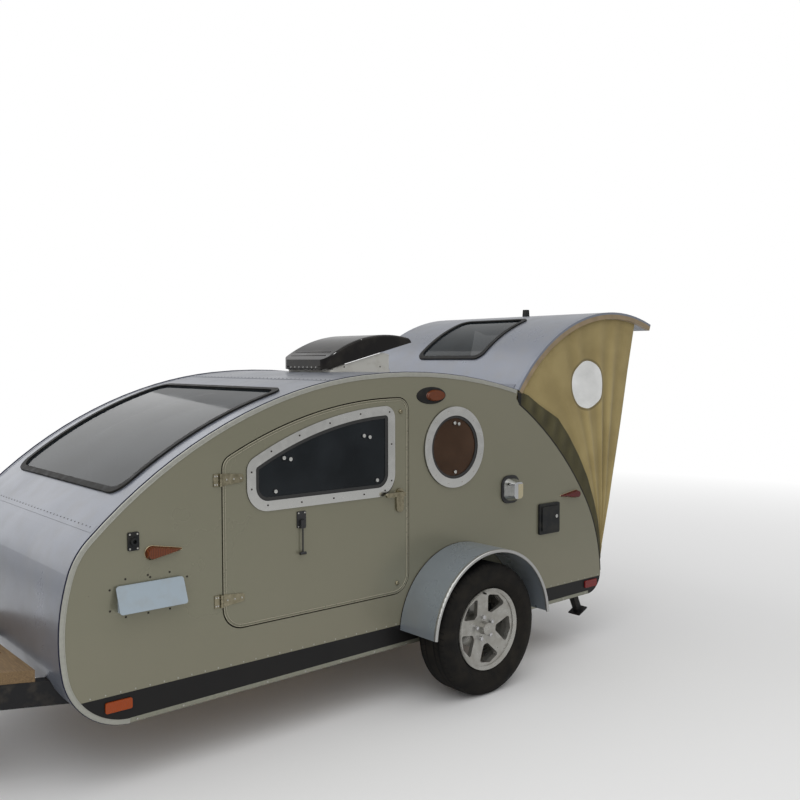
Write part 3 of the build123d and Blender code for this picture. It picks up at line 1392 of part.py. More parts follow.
# Galley: a counter over two open bays, and an open shelf box above it
GALLEY_FRONT = BULKHEAD_X - BULKHEAD_THICK - SEAT
BAY_REAR = COUNTER_REAR + 110
with BuildPart() as galley_cabinet:
    with BuildSketch(level(COUNTER_Z)):
        with Locations((GALLEY_FRONT, 0)):
            Rectangle(
                GALLEY_FRONT - COUNTER_REAR - 90, 2 * (INNER - SEAT), align=(Align.MAX, Align.CENTER)
            )
    extrude(amount=BOARD)
    with BuildSketch(level(FLOOR_TOP + SEAT)):
        with GridLocations(0, INNER - BOARD, 1, 3):
            with Locations((GALLEY_FRONT, 0)):
                Rectangle(GALLEY_FRONT - BAY_REAR, BOARD, align=(Align.MAX, Align.CENTER))
    extrude(amount=COUNTER_Z - FLOOR_TOP - SEAT)
    with BuildSketch(level(SHELF_Z)):
        with Locations((GALLEY_FRONT, 0)):
            Rectangle(GALLEY_FRONT - SHELF_REAR, 2 * (INNER - SEAT), align=(Align.MAX, Align.CENTER))
    extrude(amount=BOARD)
    with BuildSketch(level(SHELF_Z + BOARD)):
        for y in (SEAT - INNER, -BOARD / 2, INNER - SEAT - BOARD):
            with Locations((GALLEY_FRONT, y)):
                Rectangle(GALLEY_FRONT - SHELF_REAR, BOARD, align=(Align.MAX, Align.MIN))
    extrude(amount=SHELF_TALL)
save(galley_cabinet.part, "galley_cabinet")

# Mattress on the cabin floor
with BuildPart() as mattress:
    with BuildSketch(level(FLOOR_TOP + SEAT)):
        with Locations(((MATTRESS_FRONT + MATTRESS_REAR) / 2, 0)):
            RectangleRounded(MATTRESS_FRONT - MATTRESS_REAR, 2 * (INNER - 8), 60)
    extrude(amount=MATTRESS_THICK)
save(mattress.part, "mattress")
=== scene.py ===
import math

import bpy
from mathutils import Matrix, Vector


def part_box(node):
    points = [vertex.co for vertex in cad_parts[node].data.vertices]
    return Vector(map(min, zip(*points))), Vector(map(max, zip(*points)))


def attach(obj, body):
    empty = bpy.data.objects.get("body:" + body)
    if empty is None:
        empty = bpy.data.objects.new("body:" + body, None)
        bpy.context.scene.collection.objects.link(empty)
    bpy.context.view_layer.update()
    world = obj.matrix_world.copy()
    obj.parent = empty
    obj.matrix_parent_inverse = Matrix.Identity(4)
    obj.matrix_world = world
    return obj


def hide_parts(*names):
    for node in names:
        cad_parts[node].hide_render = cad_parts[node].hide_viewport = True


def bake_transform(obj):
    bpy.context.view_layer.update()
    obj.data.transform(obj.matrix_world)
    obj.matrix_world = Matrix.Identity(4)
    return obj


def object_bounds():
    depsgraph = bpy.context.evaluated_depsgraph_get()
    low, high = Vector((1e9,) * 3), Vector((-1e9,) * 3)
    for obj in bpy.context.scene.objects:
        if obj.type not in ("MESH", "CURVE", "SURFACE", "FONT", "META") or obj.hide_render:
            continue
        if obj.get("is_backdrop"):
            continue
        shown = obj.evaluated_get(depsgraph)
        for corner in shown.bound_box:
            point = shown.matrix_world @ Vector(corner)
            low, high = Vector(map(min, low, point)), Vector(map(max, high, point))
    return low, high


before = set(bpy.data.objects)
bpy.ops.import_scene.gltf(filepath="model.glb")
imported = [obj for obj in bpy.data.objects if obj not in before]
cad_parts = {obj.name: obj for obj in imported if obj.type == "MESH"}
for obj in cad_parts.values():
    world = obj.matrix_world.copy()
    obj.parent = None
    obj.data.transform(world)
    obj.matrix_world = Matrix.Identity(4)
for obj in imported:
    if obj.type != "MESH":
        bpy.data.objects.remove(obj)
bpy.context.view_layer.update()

# Camera
# Stands at eye height to the left of the coupler and looks back along the left side, with a 41 mm
# lens. In this frame X runs forward, Y to the left and Z up, and AXLE is the wheel axle's X.
AXLE = -0.81112
VIEW_FROM = (2.528, 4.172, 1.714)
VIEW_RIGHT = (-0.76132, 0.64837, -0.00155)
VIEW_UP = (-0.02978, -0.03258, 0.99903)
VIEW_BACK = (0.64769, 0.76063, 0.04411)
SENSOR_WIDTH = 36
LENS = 41.17
bpy.ops.object.camera_add(location=VIEW_FROM)
camera = bpy.context.object
camera.name = "camera"
camera.data.sensor_width = SENSOR_WIDTH
camera.data.lens = LENS
camera.rotation_mode = "QUATERNION"
camera.rotation_quaternion = Matrix((VIEW_RIGHT, VIEW_UP, VIEW_BACK)).transposed().to_quaternion()
camera.data.clip_start = 0.05
camera.data.clip_end = 100
bpy.context.scene.camera = camera
bpy.context.scene.view_settings.view_transform = "Standard"


# Floor and sky
# A plain pale studio floor that keeps the trailer's shadow, under an even pale sky. The camera
# and the glass see a white surround, bright metal sees a greyer one, and the sky that lights the
# trailer is softer.
SKY_LIGHT = 0.5
SKY_IN_METAL = 0.3
FLOOR_SIZE = 60
FLOOR_TONE = 0.78
FLOOR_MOTTLE = 0.03
FADE_FROM = 3.5
FADE_TO = 10.0
WHITE = (1, 1, 1, 1)
LAMP_AIM = Vector((-0.2, 0, 0.8))
LAMPS = (
    # name, place, size, watts
    ("key_lamp", (3.5, 5.5, 5.5), 8.0, 260),
    ("roof_lamp", (-1.0, 0.5, 7.0), 9.0, 200),
    ("far_lamp", (1.5, -6.0, 4.5), 8.0, 160),
)


class Flow:
    """A socket in a finish's nodes. A sum written with it adds the Math nodes that it needs."""

    def __init__(self, tree, socket=None):
        self.tree = tree
        self.socket = socket

    def node(self, kind, settings=None, sockets=None, out=0):
        """Add a node: its settings first, then the values or links of its sockets."""
        made = self.tree.nodes.new("ShaderNode" + kind)
        for name, value in (settings or {}).items():
            setattr(made, name, value)
        for name, value in (sockets or {}).items():
            if isinstance(value, Flow):
                self.tree.links.new(value.socket, made.inputs[name])
            else:
                made.inputs[name].default_value = value
        return Flow(self.tree, made.outputs[out])

    def maths(self, operation, first, second=0.0):
        """Add one Math node."""
        return self.node("Math", {"operation": operation}, {0: first, 1: second})

    def __add__(self, other):
        return self.maths("ADD", self, other)

    def __radd__(self, other):
        return self.maths("ADD", other, self)

    def __sub__(self, other):
        return self.maths("SUBTRACT", self, other)

    def __rsub__(self, other):
        return self.maths("SUBTRACT", other, self)

    def __mul__(self, other):
        return self.maths("MULTIPLY", self, other)

    def __rmul__(self, other):
        return self.maths("MULTIPLY", other, self)

    def __abs__(self):
        return self.maths("ABSOLUTE", self)

    def __gt__(self, other):
        return self.maths("GREATER_THAN", self, other)

    def __lt__(self, other):
        return self.maths("LESS_THAN", self, other)

    def root(self):
        """Return the square root."""
        return self.maths("SQRT", self)


def primitive(add, **settings):
    """Add a primitive with nothing else selected, and return it."""
    bpy.ops.object.select_all(action="DESELECT")
    add(**settings)
    return bpy.context.object


def finish(name, **values):
    """Start a finish: its shader with plain values, a Flow, and the place on the object."""
    made = bpy.data.materials.new(name)
    made.use_nodes = True
    shader = made.node_tree.nodes["Principled BSDF"]
    for socket, value in values.items():
        shader.inputs[socket.replace("_", " ")].default_value = value
    flow = Flow(made.node_tree)
    return made, flow, flow.node("TexCoord", out="Object")


def feed(made, socket, flow):
    """Lead a Flow into a socket of a finish's shader."""
    shader = made.node_tree.nodes["Principled BSDF"]
    made.node_tree.links.new(flow.socket, shader.inputs[socket])


world = bpy.data.worlds.new("studio_sky")
world.use_nodes = True
bpy.context.scene.world = world
flow = Flow(world.node_tree)
seen = flow.node("LightPath", out="Is Camera Ray")
seen = seen.maths("MAXIMUM", seen, flow.node("LightPath", out="Is Glossy Ray") * SKY_IN_METAL)
seen = seen.maths("MAXIMUM", seen, flow.node("LightPath", out="Is Transmission Ray"))
background = world.node_tree.nodes["Background"]
background.inputs["Color"].default_value = WHITE
strength = seen * (1 - SKY_LIGHT) + SKY_LIGHT
world.node_tree.links.new(strength.socket, background.inputs["Strength"])

floor = primitive(bpy.ops.mesh.primitive_plane_add, size=FLOOR_SIZE, location=(0, 0, 0))
floor.name = "studio_floor"
floor_look, flow, place = finish("studio_floor", Roughness=0.9)
tone = flow.node("TexNoise", sockets={"Scale": 3.0, "Detail": 4.0}) * FLOOR_MOTTLE + FLOOR_TONE
feed(floor_look, "Base Color", flow.node("CombineColor", sockets={0: tone, 1: tone, 2: tone}))
away = flow.node("VectorMath", {"operation": "LENGTH"}, {0: place}, out="Value")
fade = flow.node("MapRange", sockets={0: away, 1: FADE_FROM, 2: FADE_TO})
fade = fade * flow.node("LightPath", out="Is Camera Ray")
haze = flow.node("Emission", sockets={"Color": WHITE, "Strength": 1.0})
lit = Flow(floor_look.node_tree, floor_look.node_tree.nodes["Principled BSDF"].outputs["BSDF"])
floor_look.node_tree.links.new(
    flow.node("MixShader", sockets={0: fade, 1: lit, 2: haze}).socket,
    floor_look.node_tree.nodes["Material Output"].inputs["Surface"],
)
floor.data.materials.append(floor_look)
floor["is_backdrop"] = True

for name, place, size, watts in LAMPS:
    bpy.ops.object.light_add(type="AREA", location=place)
    lamp = bpy.context.object
    lamp.name = name
    lamp.data.size = size
    lamp.data.energy = watts
    lamp.rotation_euler = (LAMP_AIM - Vector(place)).to_track_quat("-Z", "Y").to_euler()


# Walls and doors
# Sandwich panels with a champagne metallic skin, rolled flat and bonded to a ply core. The foot
# of each wall is masked and sprayed black, and road dust lies on it.
BAND_TOP = 0.390
WALL_PAINT = (0.190, 0.184, 0.132)
BAND_BLACK = (0.006, 0.006, 0.007)
DUST = (0.24, 0.215, 0.16)


def part(flow, place, axis):
    """Return the X, Y or Z of a place."""
    return flow.node("SeparateXYZ", sockets={0: place}, out=axis)


def grain(flow, place, scale, detail=2.0, stretch=(1, 1, 1)):
    """Return noise over a place, stretched along an axis where that is wanted."""
    spread = flow.node("Mapping", sockets={"Vector": place, "Scale": stretch})
    return flow.node("TexNoise", sockets={"Vector": spread, "Scale": scale, "Detail": detail})


def between(flow, share, low, high):
    """Mix two colours by a share."""
    colours = [c if isinstance(c, Flow) else (*c, 1) for c in (low, high)]
    return flow.node("Mix", {"data_type": "RGBA"}, {0: share, 6: colours[0], 7: colours[1]}, out=2)


def toned(colour, share):
    """Return a colour made darker or lighter by a share."""
    return [c * share for c in colour]


def ramp(flow, value, low, high, floor=0.0, top=1.0):
    """Run a value from low to high over to floor and top, held at its ends."""
    return flow.node("MapRange", sockets={0: value, 1: low, 2: high, 3: floor, 4: top})


def gloss(flow, cloud, low, high):
    """Let a roughness wander between two values with a noise."""
    return ramp(flow, cloud, 0.3, 0.7, low, high)


def bump(flow, height, depth):
    """Turn a height in 0 to 1 into a bump of a real depth in metres."""
    return flow.node("Bump", sockets={"Strength": 1.0, "Distance": depth, "Height": height})


def fine_grain(made, flow, place, scale, depth):
    """Give a finish's surface an even fine grain."""
    feed(made, "Normal", bump(flow, grain(flow, place, scale), depth))


def coat(made, *names):
    """Give CAD nodes a finish."""
    for name in names:
        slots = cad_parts[name].data.materials
        slots.clear()
        slots.append(made)


wall_paint, flow, place = finish(
    "wall_paint", Metallic=0.35, Coat_Weight=0.35, Coat_Roughness=0.18, Specular_IOR_Level=0.2
)
z = part(flow, place, "Z")
flake = ramp(flow, grain(flow, place, 900, 1), 0.35, 0.65)
cloud = grain(flow, place, 2.2, 4)
band = z < BAND_TOP
dust = ramp(flow, z + grain(flow, place, 6, 6) * 0.35, 0.45, 0.85, 0.42, 0.0)
dust = dust * (0.55 - band * 0.50)
paint = between(flow, flake, toned(WALL_PAINT, 0.9), toned(WALL_PAINT, 1.1))
paint = between(flow, ramp(flow, cloud, 0.35, 0.65, 0.0, 0.12), paint, DUST)
paint = between(flow, band, paint, BAND_BLACK)
feed(wall_paint, "Base Color", between(flow, dust, paint, DUST))
feed(wall_paint, "Roughness", gloss(flow, cloud, 0.26, 0.36) + dust * 0.5)
feed(wall_paint, "Metallic", 0.35 - dust * 0.5 - band * 0.3)
feed(wall_paint, "Coat Weight", 0.35 - band * 0.35)
fine_grain(wall_paint, flow, place, 320, 0.00004)
coat(wall_paint, "side_walls", "door_left", "door_right")


# Roof, front and rear skins
# Aluminium sandwich panels bent over ribs between the walls, in silver paint with a blue cast
# and a little settled dust.
SKIN_PAINT = (0.165, 0.180, 0.218)
skin_paint, flow, place = finish("skin_paint", Metallic=0.35, Coat_Weight=0.3, Coat_Roughness=0.2)
flake = ramp(flow, grain(flow, place, 900, 1), 0.35, 0.65)
cloud = grain(flow, place, 3.0, 5)
dust = ramp(flow, grain(flow, place, 9, 6), 0.42, 0.72, 0.0, 0.16)
paint = between(flow, flake, toned(SKIN_PAINT, 0.92), toned(SKIN_PAINT, 1.08))
feed(skin_paint, "Base Color", between(flow, dust, paint, DUST))
feed(skin_paint, "Roughness", gloss(flow, cloud, 0.24, 0.36) + dust * 0.5)
fine_grain(skin_paint, flow, place, 260, 0.00005)
coat(skin_paint, "roof_panel", "front_panel", "nose_panel", "rear_panel", "hatch_shell")


# Hatch rims
# Tan powder-coated angle along both sides of the hatch. The silver skin turns over its outer
# edge.
HATCH_CENTRE = Vector((-1.3331, 0.9268))
SKIN_TURN = 1.062
RIM_DARK = (0.20, 0.145, 0.080)
RIM_LIGHT = (0.26, 0.19, 0.11)


def away_from(flow, place, centre):
    """Return how far a place is from a side view point, and its X and Z from there."""
    across = part(flow, place, "X") - (AXLE + centre[0])
    up = part(flow, place, "Z") - centre[1]
    return (across * across + up * up).root(), across, up


rim_tan, flow, place = finish("rim_tan", Coat_Weight=0.2)
cloud = grain(flow, place, 14, 4)
away, _, _ = away_from(flow, place, HATCH_CENTRE)
skin = away > SKIN_TURN
paint = between(flow, ramp(flow, cloud, 0.35, 0.65), RIM_DARK, RIM_LIGHT)
feed(rim_tan, "Base Color", between(flow, skin, paint, SKIN_PAINT))
feed(rim_tan, "Metallic", skin * 0.35)
feed(rim_tan, "Roughness", gloss(flow, cloud, 0.4, 0.55) - skin * 0.12)
fine_grain(rim_tan, flow, place, 400, 0.0001)
coat(rim_tan, "hatch_rims")


# Frame
# Welded steel box section, brushed with black chassis enamel and dusty from the road.
# The axle, the coupler and the stabilisers are coated with it too.
ENAMEL = (0.011, 0.011, 0.012)
ENAMEL_SOILED = (0.10, 0.085, 0.065)
frame_black, flow, place = finish("frame_black", Specular_IOR_Level=0.2)
cloud = grain(flow, place, 18, 6)
soiled = ramp(flow, cloud, 0.5, 0.75, 0.0, 0.35)
feed(frame_black, "Base Color", between(flow, soiled, ENAMEL, ENAMEL_SOILED))
feed(frame_black, "Roughness", gloss(flow, cloud, 0.38, 0.7))
feed(frame_black, "Normal", bump(flow, grain(flow, place, 130, 3), 0.0004))
coat(frame_black, "chassis_rails", "chassis_crossmembers", "tongue_rails", "coupler", "axle")
coat(frame_black, "stabiliser_brackets", "stabiliser_leg_left", "stabiliser_leg_right")


# Bright metal and plain plastics
# Polished or zinc-plated steel and small mouldings of plastic or rubber. The metal has faint
# rubbing marks, and the mouldings have a fine grain and a little dust.
def metal(name, tone, low, high, pitch=60, metallic=1.0):
    """Make a metal whose tone, gloss and surface vary a little."""
    made, flow, place = finish(name, Metallic=metallic)
    cloud = grain(flow, place, pitch, 4)
    feed(made, "Base Color", between(flow, ramp(flow, cloud, 0.3, 0.7), toned(tone, 0.86), tone))
    feed(made, "Roughness", gloss(flow, cloud, low, high))
    fine_grain(made, flow, place, 8 * pitch, 0.00005)
    return made


def plastic(name, tone, low, high, dusty=0.2):
    """Make a moulded plastic or rubber with a fine grain and a little dust."""
    made, flow, place = finish(name, Specular_IOR_Level=0.2)
    cloud = grain(flow, place, 22, 5)
    feed(made, "Base Color", between(flow, ramp(flow, cloud, 0.45, 0.75, 0.0, dusty), tone, DUST))
    feed(made, "Roughness", gloss(flow, cloud, low, high))
    fine_grain(made, flow, place, 240, 0.00012)
    return made


polished = metal("polished_aluminium", (0.56, 0.56, 0.54), 0.16, 0.30)
zinc = metal("zinc_plate", (0.38, 0.37, 0.34), 0.28, 0.46)
chrome = metal("lamp_chrome", (0.60, 0.60, 0.61), 0.06, 0.14)
hinge_metal = metal("hinge_metal", (0.17, 0.18, 0.21), 0.34, 0.5, metallic=0.6)
black_plastic = plastic("black_plastic", (0.010, 0.011, 0.012), 0.35, 0.55, dusty=0.08)
rubber_black = plastic("rubber_black", (0.008, 0.008, 0.008), 0.5, 0.75, dusty=0.06)
white_plastic = plastic("white_plastic", (0.50, 0.49, 0.45), 0.4, 0.55, dusty=0.3)
coat(zinc, "jack_leg", "jack_tube")
coat(hinge_metal, "hatch_hinge", "hatch_hinge_leaf")
coat(black_plastic, "inlet_boxes", "door_catches", "hatch_pod")
coat(rubber_black, "windshield_gasket", "skylight_gasket")
coat(white_plastic, "vent_base")


# Porch lights
# A chromed tapered housing on a flat base of black rubber. One is fixed to each wall, over the
# rear of the fender.
PORCH_BASE_TOP = 0.7385
PORCH_BASE = (0.010, 0.010, 0.010)
PORCH_CHROME = (0.55, 0.56, 0.57)


def two_tone(name, limit, dark, bright, low, high, duller, pitch=40, depth=0.00005):
    """Make a piece that is bright metal past a distance from the middle, and black within it."""
    made, flow, place = finish(name)
    shiny = abs(part(flow, place, "Y")) > limit
    feed(made, "Base Color", between(flow, shiny, dark, bright))
    feed(made, "Metallic", shiny * 1.0)
    rough = gloss(flow, grain(flow, place, pitch, 4), low, high)
    feed(made, "Roughness", rough + (1 - shiny) * duller)
    fine_grain(made, flow, place, 300, depth)
    return made


porch = two_tone(
    "porch_light", PORCH_BASE_TOP, PORCH_BASE, PORCH_CHROME, 0.06, 0.16, 0.45, 60, 0.00004
)
coat(porch, "porch_lights")


# Door fittings
# Bright die-cast hinges and lever handle, and a black moulded holder that keeps each door open.
# They are screwed to the door and to the wall.
HOLDER_REAR = 0.972
HOLDER_FRONT = 1.030
HOLDER_FOOT = 0.830
HOLDER_HEAD = 1.030
HOLDER_BLACK = (0.010, 0.010, 0.011)
CAST_DARK = (0.20, 0.18, 0.12)
CAST_LIGHT = (0.30, 0.27, 0.19)
fitting_metal, flow, place = finish("door_fittings")
x = part(flow, place, "X") - AXLE
z = part(flow, place, "Z")
cloud = grain(flow, place, 50, 4)
holder = (x > HOLDER_REAR) * (x < HOLDER_FRONT) * (z > HOLDER_FOOT) * (z < HOLDER_HEAD)
tone = between(flow, ramp(flow, cloud, 0.3, 0.7), CAST_DARK, CAST_LIGHT)
feed(fitting_metal, "Base Color", between(flow, holder, tone, HOLDER_BLACK))
feed(fitting_metal, "Metallic", 1 - holder)
feed(fitting_metal, "Roughness", gloss(flow, cloud, 0.16, 0.32) + holder * 0.25)
fine_grain(fitting_metal, flow, place, 300, 0.00005)
coat(fitting_metal, "door_hardware_left", "door_hardware_right", "door_hinge_leaves")


# Fenders
# Rolled aluminium arches, painted silver grey, with a wired bead round the outer edge and a
# black welt squeezed between the arch and the wall.
FENDER_PAINT = (0.280, 0.320, 0.365)
FENDER_BEAD = (0.40, 0.40, 0.39)
WELT_BLACK = (0.01, 0.01, 0.01)
WELT_TO = 0.737
BEAD_FROM = 0.984
fender_paint, flow, place = finish(
    "fender_paint", Metallic=0.5, Coat_Weight=0.3, Coat_Roughness=0.2
)
out = abs(part(flow, place, "Y"))
cloud = grain(flow, place, 5, 5)
dust = ramp(flow, part(flow, place, "Z"), 0.75, 0.36, 0.0, 0.3) * ramp(flow, cloud, 0.35, 0.65)
welt = out < WELT_TO
bead = out > BEAD_FROM
paint = between(flow, dust, FENDER_PAINT, DUST)
paint = between(flow, bead, paint, FENDER_BEAD)
feed(fender_paint, "Base Color", between(flow, welt, paint, WELT_BLACK))
feed(fender_paint, "Roughness", gloss(flow, cloud, 0.24, 0.40) + welt * 0.3)
feed(fender_paint, "Metallic", 0.5 - welt * 0.5 + bead * 0.4)
fine_grain(fender_paint, flow, place, 240, 0.0001)
coat(fender_paint, "fenders")


# Window trims and portholes
# Polished pressed rings clamp the panes. The thin rubber step inside each ring shows black
# against the tinted acrylic.
TRIM_RUBBER_TO = 0.7338
RING_RUBBER_TO = 0.7358
STEP_BLACK = (0.012, 0.012, 0.012)
TRIM_TONE = (0.56, 0.56, 0.54)
RING_TONE = (0.60, 0.60, 0.58)
trim_ring = two_tone("window_trim", TRIM_RUBBER_TO, STEP_BLACK, TRIM_TONE, 0.14, 0.28, 0.4)
port_ring = two_tone("porthole_ring", RING_RUBBER_TO, STEP_BLACK, RING_TONE, 0.10, 0.24, 0.4)
coat(trim_ring, "door_window_trim_left", "door_window_trim_right")
coat(port_ring, "porthole_rings")


# Panes
# Tinted acrylic and safety glass, bonded behind the trims: nearly black on the doors, brown in
# the portholes and a clearer grey in the windshield and the skylight.
def glazing(name, tint, solid):
    """Make a tinted pane from its colour and from how solid it looks."""
    made, flow, place = finish(name, Roughness=0.04, Specular_IOR_Level=0.25, IOR=1.45)
    smear = grain(flow, place, 4, 5)
    shade = between(flow, ramp(flow, smear, 0.35, 0.65), tint, [c * 1.5 + 0.004 for c in tint])
    feed(made, "Base Color", shade)
    feed(made, "Roughness", ramp(flow, smear, 0.4, 0.7, 0.03, 0.09))
    feed(made, "Alpha", ramp(flow, smear, 0.3, 0.7, solid, solid + 0.04))
    return made


dark_glass = glazing("door_glass", (0.006, 0.008, 0.010), 0.90)
brown_glass = glazing("porthole_glass", (0.040, 0.020, 0.010), 0.86)
screen_glass = glazing("screen_glass", (0.008, 0.012, 0.015), 0.78)
coat(dark_glass, "door_glass_left", "door_glass_right")
coat(brown_glass, "porthole_panes")
coat(screen_glass, "windshield_glass", "skylight_glass")


# Lamps
# Moulded acrylic lenses in amber, red and clear, with fine ribs. The reflectors low on the band
# are brighter than the lamps.
REFLECTOR_TOP = 0.45


def lens(name, tone, glow, low_tone):
    """Make a moulded lens: glossy colour over fine ribs, in a brighter tone low on the wall."""
    made, flow, place = finish(name, Roughness=0.12, Specular_IOR_Level=0.35)
    low = part(flow, place, "Z") < REFLECTOR_TOP
    ribs = flow.node("TexWave", {"bands_direction": "X"}, {"Vector": place, "Scale": 42.0})
    feed(made, "Base Color", between(flow, low, between(flow, ribs, tone, glow), low_tone))
    feed(made, "Normal", bump(flow, ribs, 0.0005))
    return made


amber = lens("amber_lens", (0.070, 0.015, 0.004), (0.15, 0.036, 0.007), (0.27, 0.042, 0.002))
red = lens("red_lens", (0.050, 0.003, 0.003), (0.11, 0.006, 0.006), (0.16, 0.006, 0.005))
clear = lens("clear_lens", (0.30, 0.26, 0.16), (0.48, 0.43, 0.29), (0.48, 0.43, 0.29))
coat(amber, "amber_lamps")
coat(red, "red_lamps")
coat(clear, "porch_lenses")


# Roof vent lid
# A dome vacuum-formed in smoked acrylic, dusty on top. It tilts on the white frame in the roof.
SMOKE = (0.006, 0.005, 0.005)
smoke, flow, place = finish("smoke_plastic", Specular_IOR_Level=0.2)
cloud = grain(flow, place, 11, 5)
feed(smoke, "Base Color", between(flow, ramp(flow, cloud, 0.45, 0.8, 0.0, 0.08), SMOKE, DUST))
feed(smoke, "Roughness", gloss(flow, cloud, 0.08, 0.20))
fine_grain(smoke, flow, place, 40, 0.00010)
coat(smoke, "vent_lid")


# Wall vents
# A cast hood is screwed to each wall in front of the door. Its flat face plate is painted pale
# blue grey.
vent_grey = plastic("vent_hood_grey", (0.30, 0.355, 0.40), 0.35, 0.5)
coat(vent_grey, "vent_hoods")


# Wheels
# Five spoke cast alloy rims in silver lacquer, and road tyres whose sidewalls are browned by
# dust. The grooves of the tread are in the finish, kept black and free of dust as painted shade.
WHEEL_AT = (0.0, 0.337)
WHEEL_MIDDLE = 0.866
LACQUER = (0.36, 0.355, 0.33)
BRAKE_DUST = (0.16, 0.135, 0.10)
rim_silver, flow, place = finish("rim_silver", Metallic=0.7, Coat_Weight=0.5, Coat_Roughness=0.12)
cloud = grain(flow, place, 26, 5)
soiled = ramp(flow, cloud, 0.4, 0.75, 0.0, 0.4)
feed(rim_silver, "Base Color", between(flow, soiled, LACQUER, BRAKE_DUST))
feed(rim_silver, "Roughness", gloss(flow, cloud, 0.22, 0.42))
fine_grain(rim_silver, flow, place, 300, 0.00008)
coat(rim_silver, "rim_left", "rim_right")

TREAD_FROM = 0.322
TREAD_LINES = (0.030, 0.064)
TREAD_LINE_HALF = 0.005
TREAD_BLOCKS = 68
TREAD_GAP = 0.16
TREAD_SLANT = 9
WALL_RIBS_FROM = 0.235
WALL_RIBS_TO = 0.262
WALL_RIB_WAVE = 900
TYRE_BLACK = (0.006, 0.006, 0.006)
TYRE_DUST = (0.044, 0.038, 0.030)
tyre_rubber, flow, place = finish("tyre_rubber", Specular_IOR_Level=0.1)
cloud = grain(flow, place, 13, 6)
reach, across, up = away_from(flow, place, WHEEL_AT)
side = abs(abs(part(flow, place, "Y")) - WHEEL_MIDDLE)
turn = flow.maths("ARCTAN2", up, across) * (TREAD_BLOCKS / (2 * math.pi))
cut = flow.maths("FRACT", turn + side * TREAD_SLANT) < TREAD_GAP
cut = cut * (side > TREAD_LINES[0])
for line in TREAD_LINES:
    cut = flow.maths("MAXIMUM", cut, abs(side - line) < TREAD_LINE_HALF)
cut = cut * (reach > TREAD_FROM)
ribs = flow.maths("SINE", reach * WALL_RIB_WAVE)
ribs = ribs * (reach > WALL_RIBS_FROM) * (reach < WALL_RIBS_TO)
# real dust, kept out of the grooves of the tread, which stay black as painted shade
dusty = ramp(flow, cloud, 0.35, 0.7, 0.05, 0.40) * (1 - cut)
feed(tyre_rubber, "Base Color", between(flow, dusty, TYRE_BLACK, TYRE_DUST))
feed(tyre_rubber, "Roughness", gloss(flow, cloud, 0.6, 0.85))
relief = grain(flow, place, 180, 3) * 0.1 + ribs * 0.15 - cut
feed(tyre_rubber, "Normal", bump(flow, relief, 0.004))
coat(tyre_rubber, "tyre_left", "tyre_right")


# Tongue deck
# Softwood boards laid across the tongue and screwed down. They have weathered grey brown, and
# the grain runs along each board.
SHADES_PER_METRE = 6.8
TIMBER_DARK = (0.11, 0.068, 0.034)
TIMBER_LIGHT = (0.26, 0.17, 0.085)
TIMBER_VEIN = (0.07, 0.045, 0.028)
TIMBER_GREY = (0.22, 0.165, 0.10)
timber, flow, place = finish("weathered_timber", Specular_IOR_Level=0.2)
board = flow.maths("FLOOR", part(flow, place, "X") * SHADES_PER_METRE)
shade = flow.node("TexWhiteNoise", {"noise_dimensions": "1D"}, {"W": board}, out="Value")
lines = grain(flow, place, 16, 8, (14, 0.8, 14))
fine = grain(flow, place, 60, 6, (10, 0.5, 10))
wood = between(flow, ramp(flow, lines, 0.32, 0.68), TIMBER_DARK, TIMBER_LIGHT)
wood = between(flow, ramp(flow, fine, 0.4, 0.62, 0.0, 0.35), wood, TIMBER_VEIN)
feed(timber, "Base Color", between(flow, shade * 0.4, wood, TIMBER_GREY))
feed(timber, "Roughness", gloss(flow, lines, 0.7, 0.9))
feed(timber, "Normal", bump(flow, lines * 0.6 + fine * 0.4, 0.0012))
coat(timber, "tongue_deck")


# Cabin and galley joinery
# The bulkhead, the galley cabinet and the floor are cut from birch ply and oiled, with the face
# grain along the boards.
BIRCH_DARK = (0.42, 0.28, 0.15)
BIRCH_LIGHT = (0.58, 0.42, 0.25)
birch, flow, place = finish("birch_ply", Coat_Weight=0.15)
lines = grain(flow, place, 7, 8, (1.2, 9, 9))
feed(birch, "Base Color", between(flow, ramp(flow, lines, 0.3, 0.7), BIRCH_DARK, BIRCH_LIGHT))
feed(birch, "Roughness", gloss(flow, lines, 0.42, 0.6))
feed(birch, "Normal", bump(flow, lines, 0.0003))
coat(birch, "bulkhead", "galley_cabinet", "floor_deck")


# Skin laps and edge trims
# The roof and front skins turn over the walls' top edges. An extruded aluminium trim with a small
# bright lip covers each corner, and a bead of dark blue sealant closes it.
OUTLINE_START = Vector((1.829, 0.264))
OUTLINE_WAY = 2.6
OUTLINE_ARCS = (
    # radius, turn in degrees
    (0.279, 77.8),
    (0.851, 26.9),
    (0.302, 28.2),
    (2.191, 39.5),
    (3.180, 19.9),
)
OUTLINE_CUT = 0.15
LAP_SECTION = ((0.0002, 0.6985), (0.0002, 0.7265), (0.0014, 0.7265), (0.0014, 0.6985))
SEALANT_SECTION = (
    # how far out it stands, Y
    (0.0003, 0.7180),
    (0.0030, 0.7188),
    (0.0048, 0.7208),
    (0.0052, 0.7235),
    (0.0046, 0.7258),
    (0.0003, 0.7269),
)
TRIM_SECTION = (
    # how far out it stands, Y
    (-0.0190, 0.7301),
    (-0.0195, 0.7318),
    (-0.0188, 0.7330),
    (-0.0172, 0.7334),
    (-0.0155, 0.7328),
    (-0.0148, 0.7315),
    (-0.0020, 0.7314),
    (0.0008, 0.7309),
    (0.0020, 0.7295),
    (0.0019, 0.7271),
    (0.0003, 0.7270),
    (0.0003, 0.7301),
)
DEGREES_A_STEP = 2.5


def aside(way):
    """Return the side view's unit vector 90 degrees to the left of a direction."""
    return Vector((-math.sin(math.radians(way)), math.cos(math.radians(way))))


def placed(point, y):
    """Turn a side view point, measured from the axle, into a place on the trailer."""
    return Vector((AXLE + point[0], y, point[1]))


